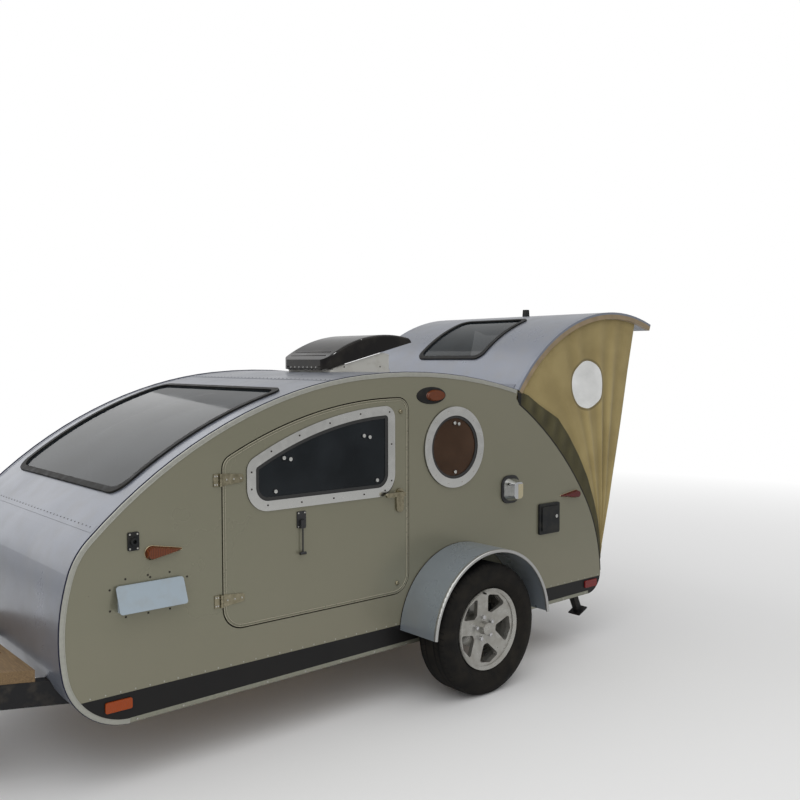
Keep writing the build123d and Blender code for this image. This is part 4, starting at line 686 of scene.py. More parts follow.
def edit_all():
    """Open the new piece in edit mode with all of it selected."""
    bpy.ops.object.mode_set(mode="EDIT")
    bpy.ops.mesh.select_all(action="SELECT")


def face_out():
    """Point the faces of the piece in edit mode outwards, and close it."""
    bpy.ops.mesh.select_all(action="SELECT")
    bpy.ops.mesh.normals_make_consistent(inside=False)
    bpy.ops.object.mode_set(mode="OBJECT")


def roll(section, start, way, arcs):
    """Draw a closed section across a chain of arcs and spin it along them."""
    add = bpy.ops.mesh.primitive_circle_add
    strip = primitive(add, vertices=len(section), fill_type="NOTHING")
    for vertex, (proud, y) in zip(strip.data.vertices, section):
        vertex.co = placed(start - aside(way) * proud, y)
    edit_all()
    at = start
    for radius, turn in arcs:
        bpy.ops.mesh.spin(
            steps=max(2, round(turn / DEGREES_A_STEP)),
            angle=math.radians(turn),
            center=placed(at + aside(way) * radius, 0),
            axis=(0, 1, 0),
        )
        at = at + (aside(way) - aside(way + turn)) * radius
        way += turn
    bpy.ops.mesh.select_all(action="SELECT")
    bpy.ops.mesh.remove_doubles(threshold=0.00001)
    bpy.ops.mesh.select_all(action="DESELECT")
    bpy.ops.mesh.select_non_manifold()
    bpy.ops.mesh.edge_face_add()
    face_out()
    return strip


def settle(piece, name, made, body="trailer", angle=40):
    """Name a finished piece, give it its finish and its body, and smooth what is round."""
    piece.name = name
    piece.data.name = name
    piece.data.materials.clear()
    piece.data.materials.append(made)
    bpy.ops.object.select_all(action="DESELECT")
    piece.select_set(True)
    bpy.context.view_layer.objects.active = piece
    bpy.ops.object.shade_smooth_by_angle(angle=math.radians(angle))
    if body:
        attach(piece, body)


def twin(piece):
    """Copy a piece of the left side to the right side."""
    copy = piece.copy()
    copy.data = piece.data.copy()
    copy.data.transform(Matrix.Scale(-1, 4, (0, 1, 0)))
    copy.data.flip_normals()
    bpy.context.collection.objects.link(copy)
    return copy


def settle_both(piece, name, made, bodies=("trailer", "trailer")):
    """Settle a piece of the left side, and its twin on the right side."""
    settle(twin(piece), f"{name}_right", made, bodies[1])
    settle(piece, f"{name}_left", made, bodies[0])


sealant = plastic("sealant", (0.006, 0.008, 0.030), 0.5, 0.7, dusty=0.05)
trim_silver = metal("edge_trim", (0.36, 0.36, 0.32), 0.28, 0.42, metallic=0.6)
trim_arcs = (*OUTLINE_ARCS[:-1], (OUTLINE_ARCS[-1][0], OUTLINE_ARCS[-1][1] - OUTLINE_CUT))
for name, section, made, slot in (
    ("skin_lap", LAP_SECTION, skin_paint, "skin_paint"),
    ("sealant_bead", SEALANT_SECTION, sealant, "rubber_black"),
    ("edge_trim", TRIM_SECTION, trim_silver, "polished"),
):
    settle_both(roll(section, OUTLINE_START, OUTLINE_WAY, trim_arcs), name, made)


# Skin joints and rivets
# The front skin lies over the roof and the nose at two joints. Domed aluminium blind rivets hold
# it there, and a row of them runs along each wall above the black band.
SIDES = (("left", 1), ("right", -1))
WALL_FACE = 0.730
FRONT_RADIUS = OUTLINE_ARCS[3][0]
JOINT_TURN = 1.0
JOINT_PROUD = 0.0013
JOINT_END = 0.6975
JOINT_SECTION = (
    # how far out it stands, Y
    (0.0002, -JOINT_END),
    (0.0002, JOINT_END),
    (JOINT_PROUD, JOINT_END),
    (JOINT_PROUD, -JOINT_END),
)
JOINTS = (
    # name, way where its lap starts
    ("nose_joint", 136.4),
    ("roof_joint", 170.6),
)
SEAMS = (
    # name, way, count, pitch
    ("roof_seam_rivets", 171, 38, 0.0365),
    ("nose_seam_rivets", 137.0, 34, 0.0395),
)
RIVET = (
    # radius, height
    (0.0036, 0),
    (0.0034, 0.0006),
    (0.0027, 0.0012),
    (0.0014, 0.0017),
    (0.0004, 0.0019),
)
RIVET_SIDES = 8
BAND_RIVET_REAR = -1.178
BAND_RIVET_FRONT = 1.990
BAND_RIVET_COUNT = 52
BAND_RIVET_Z = 0.398


def on_arcs(start, first, arcs, way):
    """Return the side view place where a chain of arcs runs in a direction."""
    at, reached = start, first
    for radius, turn in arcs:
        step = min(turn, way - reached)
        at = at + (aside(reached) - aside(reached + step)) * radius
        reached += step
        if way - reached < 0.001:
            break
    return at


def along(first, last, count):
    """Share a length evenly between its two ends."""
    return [first + (last - first) * step / (count - 1) for step in range(count)]


def turned(outline, sides):
    """Model a round piece on its foot at the origin, from pairs of its radius and its height."""
    radius, height = outline[0]
    add = bpy.ops.mesh.primitive_circle_add
    piece = primitive(add, vertices=sides, radius=radius, fill_type="NGON")
    edit_all()
    for wide, tall in outline[1:]:
        bpy.ops.mesh.extrude_region_move(TRANSFORM_OT_translate={"value": (0, 0, tall - height)})
        share = wide / radius
        bpy.ops.transform.resize(value=(share, share, 1), center_override=(0, 0, tall))
        radius, height = wide, tall
    face_out()
    return piece


def seat(piece, at, facing):
    """Stand a piece that was modelled on its foot at the origin on a place, facing outwards."""
    turn = Vector(facing).to_track_quat("Z", "Y").to_matrix().to_4x4()
    piece.data.transform(Matrix.Translation(at) @ turn)
    return piece


def row(name, pattern, seats, made, body="trailer"):
    """Copy a modelled fastener to each place and facing of a row, and make the row one piece."""
    copies = []
    for at, facing in seats:
        copy = pattern.copy()
        copy.data = pattern.data.copy()
        bpy.context.collection.objects.link(copy)
        copies.append(seat(copy, at, facing))
    bpy.data.objects.remove(pattern)
    bpy.ops.object.select_all(action="DESELECT")
    for copy in copies:
        copy.select_set(True)
    bpy.context.view_layer.objects.active = copies[0]
    if len(copies) > 1:
        bpy.ops.object.join()
    settle(bpy.context.object, name, made, body)


def standing(spots, y, sign):
    """Return the seats of side view spots on a flat face, at Y on the left or its mirror."""
    return [(placed(spot, sign * y), (0, sign, 0)) for spot in spots]


seam_rivet = metal("seam_rivet", (0.075, 0.075, 0.080), 0.3, 0.5, pitch=200)
for name, way in JOINTS:
    at = on_arcs(OUTLINE_START, OUTLINE_WAY, OUTLINE_ARCS, way)
    joint = roll(JOINT_SECTION, at, way, ((FRONT_RADIUS, JOINT_TURN),))
    settle(joint, name, skin_paint)
for name, way, count, pitch in SEAMS:
    out = -aside(way)
    at = on_arcs(OUTLINE_START, OUTLINE_WAY, OUTLINE_ARCS, way) + out * JOINT_PROUD
    reach = (count - 1) / 2 * pitch
    seats = [(placed(at, y), (out.x, 0, out.y)) for y in along(-reach, reach, count)]
    row(name, turned(RIVET, RIVET_SIDES), seats, seam_rivet)
band_xs = along(BAND_RIVET_REAR, BAND_RIVET_FRONT, BAND_RIVET_COUNT)
for side_name, sign in SIDES:
    seats = standing([(x, BAND_RIVET_Z) for x in band_xs], WALL_FACE, sign)
    row(f"band_rivets_{side_name}", turned(RIVET, RIVET_SIDES), seats, trim_silver)


# Door mouldings
# A light aluminium moulding is screwed round the edge of each door. Two narrow ridges with a
# shallow channel between them show as a double line, painted as a highlight on the ridge tops
# over a darker tone of the wall paint.
DOORS = ("door_left", "door_right")
DOOR_FOOT = 0.553
DOOR_TOP = ((0.356, 1.521), (0.992, 1.449), (1.402, 1.284))
DOOR_TOP_POINTS = 24
# radii at the rear foot, the rear head, the front head and the front foot
DOOR_CORNERS = (0.095, 0.062, 0.062, 0.095)
CORNER_STEPS = 8
ON_WALL = WALL_FACE + 0.0001
PANEL_THICK = 0.0001
RIDGE_FROM = 0.7319
RIDGE_HIGHLIGHT = (0.42, 0.39, 0.30)
MOULDING_STEPS = (
    # inwards, outwards
    (0.0004, 0.0018),
    (0.0006, 0.0005),
    (0.0012, 0.0),
    (0.0006, -0.0010),
    (0.0082, 0.0),
    (0.0006, 0.0010),
    (0.0012, 0.0),
    (0.0006, -0.0005),
    (0.0004, -0.0018),
)


def arc_through(first, middle, last, count):
    """Return points along the arc that passes through three side view points."""
    (ax, ay), (bx, by), (cx, cy) = first, middle, last
    area = 2 * (ax * (by - cy) + bx * (cy - ay) + cx * (ay - by))
    a2, b2, c2 = ax * ax + ay * ay, bx * bx + by * by, cx * cx + cy * cy
    mx = (a2 * (by - cy) + b2 * (cy - ay) + c2 * (ay - by)) / area
    my = (a2 * (cx - bx) + b2 * (ax - cx) + c2 * (bx - ax)) / area
    radius = math.hypot(ax - mx, ay - my)
    angles = along(math.atan2(ay - my, ax - mx), math.atan2(cy - my, cx - mx), count)
    return [(mx + radius * math.cos(turn), my + radius * math.sin(turn)) for turn in angles]


def rounded(points, corners):
    """Round corners of a side view outline, given as the index of each and its radius."""
    points = [Vector(point) for point in points]
    made = list(points)
    for index, radius in sorted(corners, reverse=True):
        corner = points[index]
        back = (points[index - 1] - corner).normalized()
        on = (points[(index + 1) % len(points)] - corner).normalized()
        opening = back.angle(on)
        reach = radius / math.tan(opening / 2)
        middle = corner + (back + on).normalized() * radius / math.sin(opening / 2)
        ends = [corner + back * reach - middle, corner + on * reach - middle]
        shares = along(0, 1, CORNER_STEPS + 1)
        arc = [middle + radius * ends[0].slerp(ends[1], share) for share in shares]
        made[index : index + 1] = arc
        # the outline's own points go where the arc has cut past them
        made = [p for p in made if p in arc or p not in points or (p - corner).length > reach]
    return made


def arched(foot, top, top_points, corners):
    """Outline a door or a window from its foot's height, its top's arc and its four corners."""
    rear, front = top[0][0], top[-1][0]
    rear_foot, rear_head, front_head, front_foot = corners
    return rounded(
        [(rear, foot), *arc_through(*top, top_points), (front, foot)],
        ((0, rear_foot), (1, rear_head), (top_points, front_head), (top_points + 1, front_foot)),
    )


def panel(points, y):
    """Fill a side view outline at Y, facing left."""
    piece = primitive(bpy.ops.mesh.primitive_circle_add, vertices=len(points), fill_type="NGON")
    for vertex, point in zip(piece.data.vertices, points):
        vertex.co = placed(point, y)
    piece.data.update()
    if piece.data.polygons[0].normal.y < 0:
        piece.data.flip_normals()
    return piece


def select_faces(piece, wanted):
    """Select the faces of the piece in edit mode that a test picks by their middle and normal."""
    bpy.ops.object.mode_set(mode="OBJECT")
    for vertex in piece.data.vertices:
        vertex.select = False
    for edge in piece.data.edges:
        edge.select = False
    for face in piece.data.polygons:
        face.select = bool(wanted(face.center, face.normal))
    bpy.ops.object.mode_set(mode="EDIT")


def stepped(piece, steps, ring=False):
    """Raise a panel by steps inwards and outwards. A ring's middle is then opened."""
    back_y = piece.data.vertices[0].co.y

    def is_back(middle, normal):
        return normal.y < -0.9 and abs(middle.y - back_y) < 0.00001

    edit_all()
    bpy.ops.mesh.extrude_region_move(TRANSFORM_OT_translate={"value": (0, PANEL_THICK, 0)})
    for inward, outward in steps:
        bpy.ops.mesh.inset(thickness=inward, depth=outward)
    if ring:
        bpy.ops.mesh.delete(type="FACE")
        select_faces(piece, is_back)
        bpy.ops.mesh.delete(type="FACE")
        bpy.ops.mesh.select_all(action="DESELECT")
        bpy.ops.mesh.select_non_manifold()
        bpy.ops.mesh.bridge_edge_loops()
    face_out()
    return piece


door_outline = arched(DOOR_FOOT, DOOR_TOP, DOOR_TOP_POINTS, DOOR_CORNERS)
moulding_silver, flow, place = finish("door_moulding", Metallic=0.5)
# painted highlight on the tops of the two ridges; the rest of the moulding is a darker tone of the
# wall paint
ridge = abs(part(flow, place, "Y")) > RIDGE_FROM
cloud = grain(flow, place, 60, 4)
feed(moulding_silver, "Base Color", between(flow, ridge, toned(WALL_PAINT, 0.9), RIDGE_HIGHLIGHT))
feed(moulding_silver, "Roughness", gloss(flow, cloud, 0.24, 0.38))
fine_grain(moulding_silver, flow, place, 300, 0.00005)
moulding = stepped(panel(door_outline, ON_WALL), MOULDING_STEPS, ring=True)
settle_both(moulding, "door_moulding", moulding_silver, DOORS)


# Door window seals
# A black rubber ring seals each pane inside its trim, and the pane's own ground edge shows as a
# thin pale line in front of it. Small bright knobs clamp the pane.
WINDOW_FOOT = 1.046
WINDOW_TOP = ((0.445, 1.489), (1.003, 1.396), (1.285, 1.268))
WINDOW_TOP_POINTS = 20
WINDOW_CORNERS = (0.095, 0.062, 0.062, 0.110)
WINDOW_TRIM = 0.045
PANE_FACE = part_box("door_glass_left")[1][1]
SEAL_INWARD = WINDOW_TRIM + 0.001
EDGE_INWARD = WINDOW_TRIM + 0.031
SEAL_STEPS = (
    # inwards, outwards
    (0.001, 0.0035),
    (0.003, 0.0012),
    (0.018, 0.0),
    (0.004, -0.0012),
    (0.001, -0.0033),
)
EDGE_STEPS = ((0.0004, 0.0012), (0.0026, 0.0), (0.0004, -0.0012))
KNOB = (
    # radius, height
    (0.006, 0),
    (0.006, 0.003),
    (0.0095, 0.004),
    (0.0100, 0.008),
    (0.0085, 0.0105),
    (0.004, 0.0115),
)
KNOB_SIDES = 16
KNOBS = (
    (1.095, 1.276), (1.060, 1.268), (0.640, 1.350), (0.605, 1.342), (1.140, 1.130), (0.560, 1.130),
)


def inner(piece, inward):
    """Shrink a panel by a distance."""
    edit_all()
    bpy.ops.mesh.inset(thickness=inward)
    bpy.ops.mesh.select_all(action="INVERT")
    bpy.ops.mesh.delete(type="FACE")
    bpy.ops.object.mode_set(mode="OBJECT")
    return piece


window_outline = arched(WINDOW_FOOT, WINDOW_TOP, WINDOW_TOP_POINTS, WINDOW_CORNERS)
edge_clear = plastic("pane_edge", (0.42, 0.46, 0.42), 0.2, 0.3, dusty=0.1)
seal = stepped(inner(panel(window_outline, PANE_FACE), SEAL_INWARD), SEAL_STEPS, ring=True)
pane_edge = stepped(inner(panel(window_outline, PANE_FACE), EDGE_INWARD), EDGE_STEPS, ring=True)
settle_both(seal, "window_seal", rubber_black, DOORS)
settle_both(pane_edge, "pane_edge", edge_clear, DOORS)
for side_name, sign in reversed(SIDES):
    seats = standing(KNOBS, PANE_FACE, sign)
    knob = turned(KNOB, KNOB_SIDES)
    row(f"pane_knobs_{side_name}", knob, seats, polished, f"door_{side_name}")


# Screws
# Stainless pan head screws with a sunk centre hold the window trims, hinges, holders, catches,
# porthole rings and vents. The ones round the window trims and the vents have weathered dark.
SCREW = ((0.0044, 0), (0.0044, 0.0008), (0.0038, 0.0018), (0.0024, 0.0022), (0.0015, 0.0014))
SCREW_SIDES = 10
LATCH = ((0.0115, 0), (0.0115, 0.004), (0.0095, 0.0065), (0.0050, 0.0075), (0.0045, 0.0060))
TRIM_SCREWS = (
    (0.468, 1.120), (0.468, 1.300), (0.480, 1.458), (0.660, 1.455), (0.840, 1.420), (1.010, 1.372),
    (1.160, 1.310), (1.262, 1.225), (1.262, 1.150), (1.180, 1.072), (1.000, 1.068), (0.820, 1.068),
    (0.640, 1.068), (0.510, 1.075),
)
STRAP_SCREWS = ((1.385, 0.684), (1.350, 0.684), (1.315, 0.684))
LEAF_SCREWS = ((1.430, 0.702), (1.441, 0.702), (1.430, 0.666), (1.441, 0.666))
HINGE_RISE = 0.520
HOLDER_SCREWS = ((0.984, 1.019), (1.018, 1.019), (0.984, 0.957), (1.018, 0.957))
CATCH_SCREWS = ((1.790, 1.022), (1.822, 1.022), (1.790, 0.964), (1.822, 0.964))
CHEEK_SCREWS = ((0.360, 1.675), (0.110, 1.675))
HOOD_SCREWS = (
    (1.905, 0.812), (1.840, 0.846), (1.745, 0.848), (1.735, 0.838), (1.650, 0.846), (1.572, 0.815),
    (1.905, 0.728), (1.840, 0.694), (1.745, 0.694), (1.650, 0.694),
)
DOOR_LATCHES = ((0.405, 1.457), (0.429, 0.604))


def landing(node, start, way):
    """Return where a line first meets a CAD node, and which way the node faces there."""
    found, at, facing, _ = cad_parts[node].ray_cast(start, way)
    if not found:
        raise RuntimeError(f"{node} has nothing on the line from {start}")
    return at, facing


def landings(node, spots, sign):
    """Return the seats of side view spots on a CAD node's left side, or on its right side."""
    seats = []
    for spot in spots:
        at, _ = landing(node, placed(spot, sign * 2), (0, -sign, 0))
        seats.append((at, (0, sign, 0)))
    return seats


def higher(spots):
    """Repeat the spots of the lower hinge on the upper one."""
    return (*spots, *((x, z + HINGE_RISE) for x, z in spots))


screw_steel = metal("screw_steel", (0.46, 0.45, 0.42), 0.2, 0.34, pitch=200)
screw_dark = metal("weathered_screw", (0.05, 0.045, 0.04), 0.4, 0.6, pitch=200)
for side_name, sign in SIDES:
    door = f"door_{side_name}"
    hardware = f"door_hardware_{side_name}"
    for name, node, spots, made, body in (
        ("trim_screws", f"door_window_trim_{side_name}", TRIM_SCREWS, screw_dark, door),
        ("strap_screws", hardware, higher(STRAP_SCREWS), screw_steel, door),
        ("leaf_screws", "door_hinge_leaves", higher(LEAF_SCREWS), screw_steel, "trailer"),
        ("holder_screws", hardware, HOLDER_SCREWS, screw_steel, door),
        ("catch_screws", "door_catches", CATCH_SCREWS, screw_steel, "trailer"),
        ("cheek_screws", "vent_base", CHEEK_SCREWS, screw_dark, "trailer"),
    ):
        seats = landings(node, spots, sign)
        row(f"{name}_{side_name}", turned(SCREW, SCREW_SIDES), seats, made, body)
    seats = standing(HOOD_SCREWS, WALL_FACE, sign)
    row(f"hood_screws_{side_name}", turned(SCREW, SCREW_SIDES), seats, screw_dark)
    seats = landings(door, DOOR_LATCHES, sign)
    latch = turned(LATCH, KNOB_SIDES)
    row(f"door_latches_{side_name}", latch, seats, fitting_metal, door)


# Portholes
# Twelve screws hold each porthole's ring to the wall. Two knobs at the top and one at the foot
# hold its pane.
PORTHOLE = (0.038, 1.258)
PORTHOLE_SCREWS = 12
PORTHOLE_SCREW_REACH = 0.192
PORTHOLE_SCREW_START = 15
PORTHOLE_KNOBS = ((0.010, 1.378), (0.040, 1.384), (0.036, 1.128))


def ring_of(centre, reach, count, start):
    """Share spots evenly round a circle in the side view, from a turn in degrees."""
    x, z = centre
    turns = [math.radians(start + 360 * step / count) for step in range(count)]
    return [(x + reach * math.cos(turn), z + reach * math.sin(turn)) for turn in turns]


for side_name, sign in SIDES:
    spots = ring_of(PORTHOLE, PORTHOLE_SCREW_REACH, PORTHOLE_SCREWS, PORTHOLE_SCREW_START)
    seats = landings("porthole_rings", spots, sign)
    row(f"porthole_screws_{side_name}", turned(SCREW, SCREW_SIDES), seats, screw_steel)
    seats = landings("porthole_panes", PORTHOLE_KNOBS, sign)
    row(f"porthole_knobs_{side_name}", turned(KNOB, KNOB_SIDES), seats, polished)


# Lamp bezels
# A thin bright bezel runs round each drop-shaped lens, and the oval lamp stands on a wider black
# rubber base.
BEZEL_STEPS = ((0.0006, 0.0016), (0.0012, 0.0008), (0.0012, -0.0008))
DROPS = (
    # name, head, tip, radius at the head, radius at the tip
    ("amber_bezel", (1.729, 0.936), (1.598, 0.936), 0.0305, 0.0060),
    ("red_bezel", (-0.963, 0.917), (-0.824, 0.917), 0.0255, 0.0060),
)
DROP_END_POINTS = 14
OVAL_AT = (0.200, 1.531)
OVAL_LONG = 0.100
OVAL_TALL = 0.044
OVAL_DEGREES_A_STEP = 9
OVAL_STEPS = ((0.0015, 0.003), (0.003, 0.0015), (0.006, 0.0005))


def drop(head, tip, head_radius, tip_radius):
    """Return the outline round a drop with its head and its tip at one height."""
    way = 1 if head[0] > tip[0] else -1
    lean = math.acos((head_radius - tip_radius) / abs(head[0] - tip[0]))
    outline = []
    for middle, radius, first, last in (
        (head, head_radius, math.pi - lean, lean - math.pi),
        (tip, tip_radius, lean - math.pi, -math.pi - lean),
    ):
        for turn in along(first, last, DROP_END_POINTS):
            x = middle[0] + way * radius * math.cos(turn)
            outline.append((x, middle[1] + radius * math.sin(turn)))
    return outline


bezel_brass = metal("lamp_bezel", (0.40, 0.34, 0.22), 0.22, 0.36, pitch=160)
for name, head, tip, head_radius, tip_radius in DROPS:
    outline = drop(head, tip, head_radius, tip_radius)
    bezel = stepped(panel(outline, ON_WALL), BEZEL_STEPS, ring=True)
    settle_both(bezel, name, bezel_brass)
x, z = OVAL_AT
turns = [math.radians(degrees) for degrees in range(0, 360, OVAL_DEGREES_A_STEP)]
oval = [(x + OVAL_LONG * math.cos(turn), z + OVAL_TALL * math.sin(turn)) for turn in turns]
base = stepped(panel(oval, ON_WALL), OVAL_STEPS)
settle_both(base, "oval_lamp_base", rubber_black)


# Box locks
# A round cam lock of polished metal holds each inlet box's door shut. It sits near the door's
# rear edge.
LOCK = ((0.0100, 0), (0.0100, 0.003), (0.0085, 0.0042), (0.0050, 0.0042), (0.0045, 0.0030))
LOCK_AT = (-0.765, 0.808)
for side_name, sign in SIDES:
    seats = landings("inlet_boxes", [LOCK_AT], sign)
    row(f"box_lock_{side_name}", turned(LOCK, KNOB_SIDES), seats, polished)


# Sill strips
# A thin aluminium strip closes the foot of each wall under the black band. It meets the edge
# trim at the front and is screwed on.
SILL_REAR = Vector((-1.085, 0.2960))
SILL_FRONT = Vector((1.8285, 0.2645))
SILL_TALL = Vector((0, 0.0200))
SILL_STEPS = ((0.0006, 0.0012), (0.0020, 0.0004))
SILL_FACE = WALL_FACE + 0.0016
SILL_END = 0.01
SILL_SCREWS = 15
sill_silver = metal("sill_strip", (0.25, 0.25, 0.20), 0.3, 0.45, metallic=0.6)
corners = [SILL_REAR, SILL_FRONT, SILL_FRONT + SILL_TALL, SILL_REAR + SILL_TALL]
strip = stepped(panel(corners, ON_WALL), SILL_STEPS)
settle_both(strip, "sill_strip", sill_silver)
for side_name, sign in SIDES:
    shares = along(SILL_END, 1 - SILL_END, SILL_SCREWS)
    spots = [SILL_REAR.lerp(SILL_FRONT, share) + SILL_TALL / 2 for share in shares]
    seats = standing(spots, SILL_FACE, sign)
    row(f"sill_screws_{side_name}", turned(SCREW, SCREW_SIDES), seats, screw_steel)


# Wheel nuts and valves
# Five chromed taper nuts hold each rim, and a rubber tyre valve stands in the rim's well.
# Both turn with the wheel.
NUT = ((0.0120, 0), (0.0120, 0.014), (0.0105, 0.0165), (0.0070, 0.0175), (0.0060, 0.0155))
NUT_SIDES = 6
NUT_REACH = 0.057
NUT_COUNT = 5
NUT_START = 82
VALVE = ((0.0055, 0), (0.0045, 0.010), (0.0045, 0.022), (0.0035, 0.024))
VALVE_REACH = 0.190
for side_name, sign in SIDES:
    rim = f"rim_{side_name}"
    wheel = f"wheel_{side_name}"
    seats = landings(rim, ring_of(WHEEL_AT, NUT_REACH, NUT_COUNT, NUT_START), sign)
    nut = turned(NUT, NUT_SIDES)
    row(f"wheel_nuts_{side_name}", nut, seats, chrome, wheel)
    seats = landings(rim, ring_of(WHEEL_AT, VALVE_REACH, 1, NUT_START), sign)
    valve = turned(VALVE, SCREW_SIDES)
    row(f"valve_{side_name}", valve, seats, rubber_black, wheel)


# Deck screws
# Rusty coach screws hold the boards of the deck down. Each board has one on each side of its
# middle.
DECK_SCREW = ((0.0070, 0), (0.0068, 0.0015), (0.0050, 0.0030), (0.0030, 0.0034))
DECK_XS = (2.165, 2.235, 2.310, 2.380, 2.452, 2.525, 2.595, 2.668)
DECK_YS = (-0.20, 0.20)
rust = metal("rusty_steel", (0.10, 0.045, 0.022), 0.6, 0.8, pitch=120, metallic=0.4)
seats = []
for x in DECK_XS:
    for y in DECK_YS:
        at, _ = landing("tongue_deck", (AXLE + x, y, 2), (0, 0, -1))
        seats.append((at, (0, 0, 1)))
row("deck_screws", turned(DECK_SCREW, SCREW_SIDES), seats, rust)


# Wall edge seals
# A black rubber extrusion is pushed over the rear edge of each side wall, where the hatch shuts.
# The canvas comes out from behind it.
EDGE_START = Vector((-0.461, 1.468))
EDGE_WAY = 212.4
EDGE_ARCS = ((1.975, 24.1), (0.939, 30.4))
SEAL_SECTION = (
    # how far out it stands, Y
    (-0.0040, 0.7301),
    (-0.0040, 0.7310),
    (0.0015, 0.7311),
    (0.0034, 0.7302),
    (0.0036, 0.7262),
    (0.0002, 0.7260),
    (0.0002, 0.7301),
)
edge_seal = roll(SEAL_SECTION, EDGE_START, EDGE_WAY, EDGE_ARCS)
settle_both(edge_seal, "wall_edge_seal", rubber_black)


# Hatch canvas
# A khaki canvas panel closes each side between the wall and the raised hatch. It is sewn to the
# hatch's rim, hangs in folds from it, and has a round window of clear film. The valleys of its
# folds carry painted shade. Its front edge is turned back on the wall's edge as a hem, gathered at
# the top: the same canvas, coloured dark olive as painted shade.
HATCH_INSIDE = 1.034
# first way, last way, count of points
RIM_WAYS = (126, 192.7, 30)
FRONT_WAYS = (213.5, 264, 26)
FRONT_TOP = ((-0.460, 1.534), (-0.463, 1.466))
FRONT_OUT = 0.004
HEM_LINE = (
    (-0.470, 1.536), (-0.545, 1.512), (-0.638, 1.456), (-0.805, 1.371), (-0.902, 1.267),
    (-1.001, 1.136), (-1.082, 1.003), (-1.145, 0.857), (-1.188, 0.723), (-1.210, 0.589),
    (-1.216, 0.490),
)
REAR_LINE = (
    (-1.560, 1.9357), (-1.491, 1.646), (-1.413, 1.272), (-1.317, 0.842), (-1.240, 0.571),
    (-1.221, 0.475),
)
CURTAIN_Y = 0.7105
HEM_Y = 0.7250
FLAP_Y = 0.7262
CURTAIN_GRID = (110, 90)
HEM_GRID = (12, 120)
CLOTH = 0.0009
CORNER_FLAP = ((-0.4525, 1.533), (-0.4585, 1.462), (-0.4800, 1.449), (-0.4850, 1.523))
FLAP_CORNERS = ((2, 0.006), (3, 0.004))
FLAP_STEPS = ((0.0006, 0.0016), (0.0012, 0.0004))
FOLD_DEPTH = 0.0120
WEAVE_SCALE = 260.0
FILM_AT = (-1.093, 1.562)
FILM_RADIUS = 0.143
FILM_STITCH = 0.014
FILM_TONE = (0.22, 0.23, 0.21)
STITCH_TONE = (0.10, 0.08, 0.04)
KHAKI_DARK = (0.285, 0.220, 0.092)
KHAKI_LIGHT = (0.360, 0.285, 0.128)
# painted shade: the hem is the khaki canvas, and these dark olive tones stand for the shade on it
HEM_SHADE_DARK = (0.048, 0.042, 0.016)
HEM_SHADE_LIGHT = (0.080, 0.070, 0.030)
BLEND_FROM = placed((-1.229, 0.3875), CURTAIN_Y)
BLEND_TO = placed((-0.8655, 1.751), CURTAIN_Y)


def on_line(points, share):
    """Return the place at a share of the length of a side view line."""
    points = [Vector(point) for point in points]
    lengths = [(b - a).length for a, b in zip(points, points[1:])]
    left = share * sum(lengths)
    for a, b, length in zip(points, points[1:], lengths):
        if left <= length:
            break
        left -= length
    return a.lerp(b, min(1, left / length))


def modify(piece, kind, **settings):
    """Finish the new piece with a modifier, and apply it."""
    modifier = piece.modifiers.new(kind.lower(), kind)
    for name, value in settings.items():
        setattr(modifier, name, value)
    bpy.ops.object.modifier_apply(modifier=modifier.name)


def cloth(across, down, shape):
    """Model a cloth as a grid whose points are placed by a shape, with its flat place as UV."""
    add = bpy.ops.mesh.primitive_grid_add
    piece = primitive(add, x_subdivisions=across, y_subdivisions=down, size=1)
    flat = [shape(vertex.co.x + 0.5, 0.5 - vertex.co.y) for vertex in piece.data.vertices]
    fold = piece.data.attributes.new("fold", "FLOAT", "POINT")
    for index, (spot, y) in enumerate(flat):
        piece.data.vertices[index].co = placed(spot, y)
        fold.data[index].value = y
    cut = piece.data.uv_layers.active.data
    for loop in piece.data.loops:
        cut[loop.index].uv = flat[loop.vertex_index][0]
    bpy.ops.object.mode_set(mode="EDIT")
    face_out()
    if sum(face.normal.y for face in piece.data.polygons) < 0:
        piece.data.flip_normals()
    modify(piece, "SOLIDIFY", thickness=CLOTH)
    return piece


front_line = [Vector(point) for point in FRONT_TOP]
for way in along(*FRONT_WAYS):
    front_line.append(on_arcs(EDGE_START, EDGE_WAY, EDGE_ARCS, way) - aside(way) * FRONT_OUT)
head_line = [front_line[0]]
head_line += [HATCH_CENTRE - aside(way) * HATCH_INSIDE for way in along(*RIM_WAYS)]
foot_line = [front_line[-1], Vector(REAR_LINE[-1])]


def curtain_shape(across, down):
    """Place a point of the canvas between its four edges, and lay its folds."""
    spot = on_line(head_line, across) * (1 - down) + on_line(foot_line, across) * down
    spot = spot + on_line(front_line, down) * (1 - across) + on_line(REAR_LINE, down) * across
    spot = spot - head_line[0] * (1 - across) * (1 - down) - head_line[-1] * across * (1 - down)
    spot = spot - foot_line[0] * (1 - across) * down - foot_line[1] * across * down
    # the folds are flat at the front, shallow at the rim, and ease off again towards the foot
    reach = min(1, max(0, (across - 0.18) / 0.4)) * min(1, 0.15 + 2.2 * down) * (1 - 0.6 * down)
    wave = math.sin(34 * across**1.4 + 2.2 * down) + 0.45 * math.sin(61 * across + 5 * down + 1)
    slack = 0.35 * math.sin(7 * across + 9 * down)
    return spot, CURTAIN_Y + FOLD_DEPTH * (reach * wave / 1.45 + slack * across * (1 - across) * 2)


def hem_shape(across, down):
    """Place a point of the hem between the wall's edge and its own edge, gathered at its top."""
    spot = on_line(front_line, down).lerp(on_line(HEM_LINE, down), across)
    gather = max(0, 1 - down * 1.8) * 0.0024 + 0.0006
    ruffle = gather * math.sin(70 * down + 3 * across) * math.sin(math.pi * across)
    edge = 0.0012 * across**6
    return spot, HEM_Y + ruffle - edge


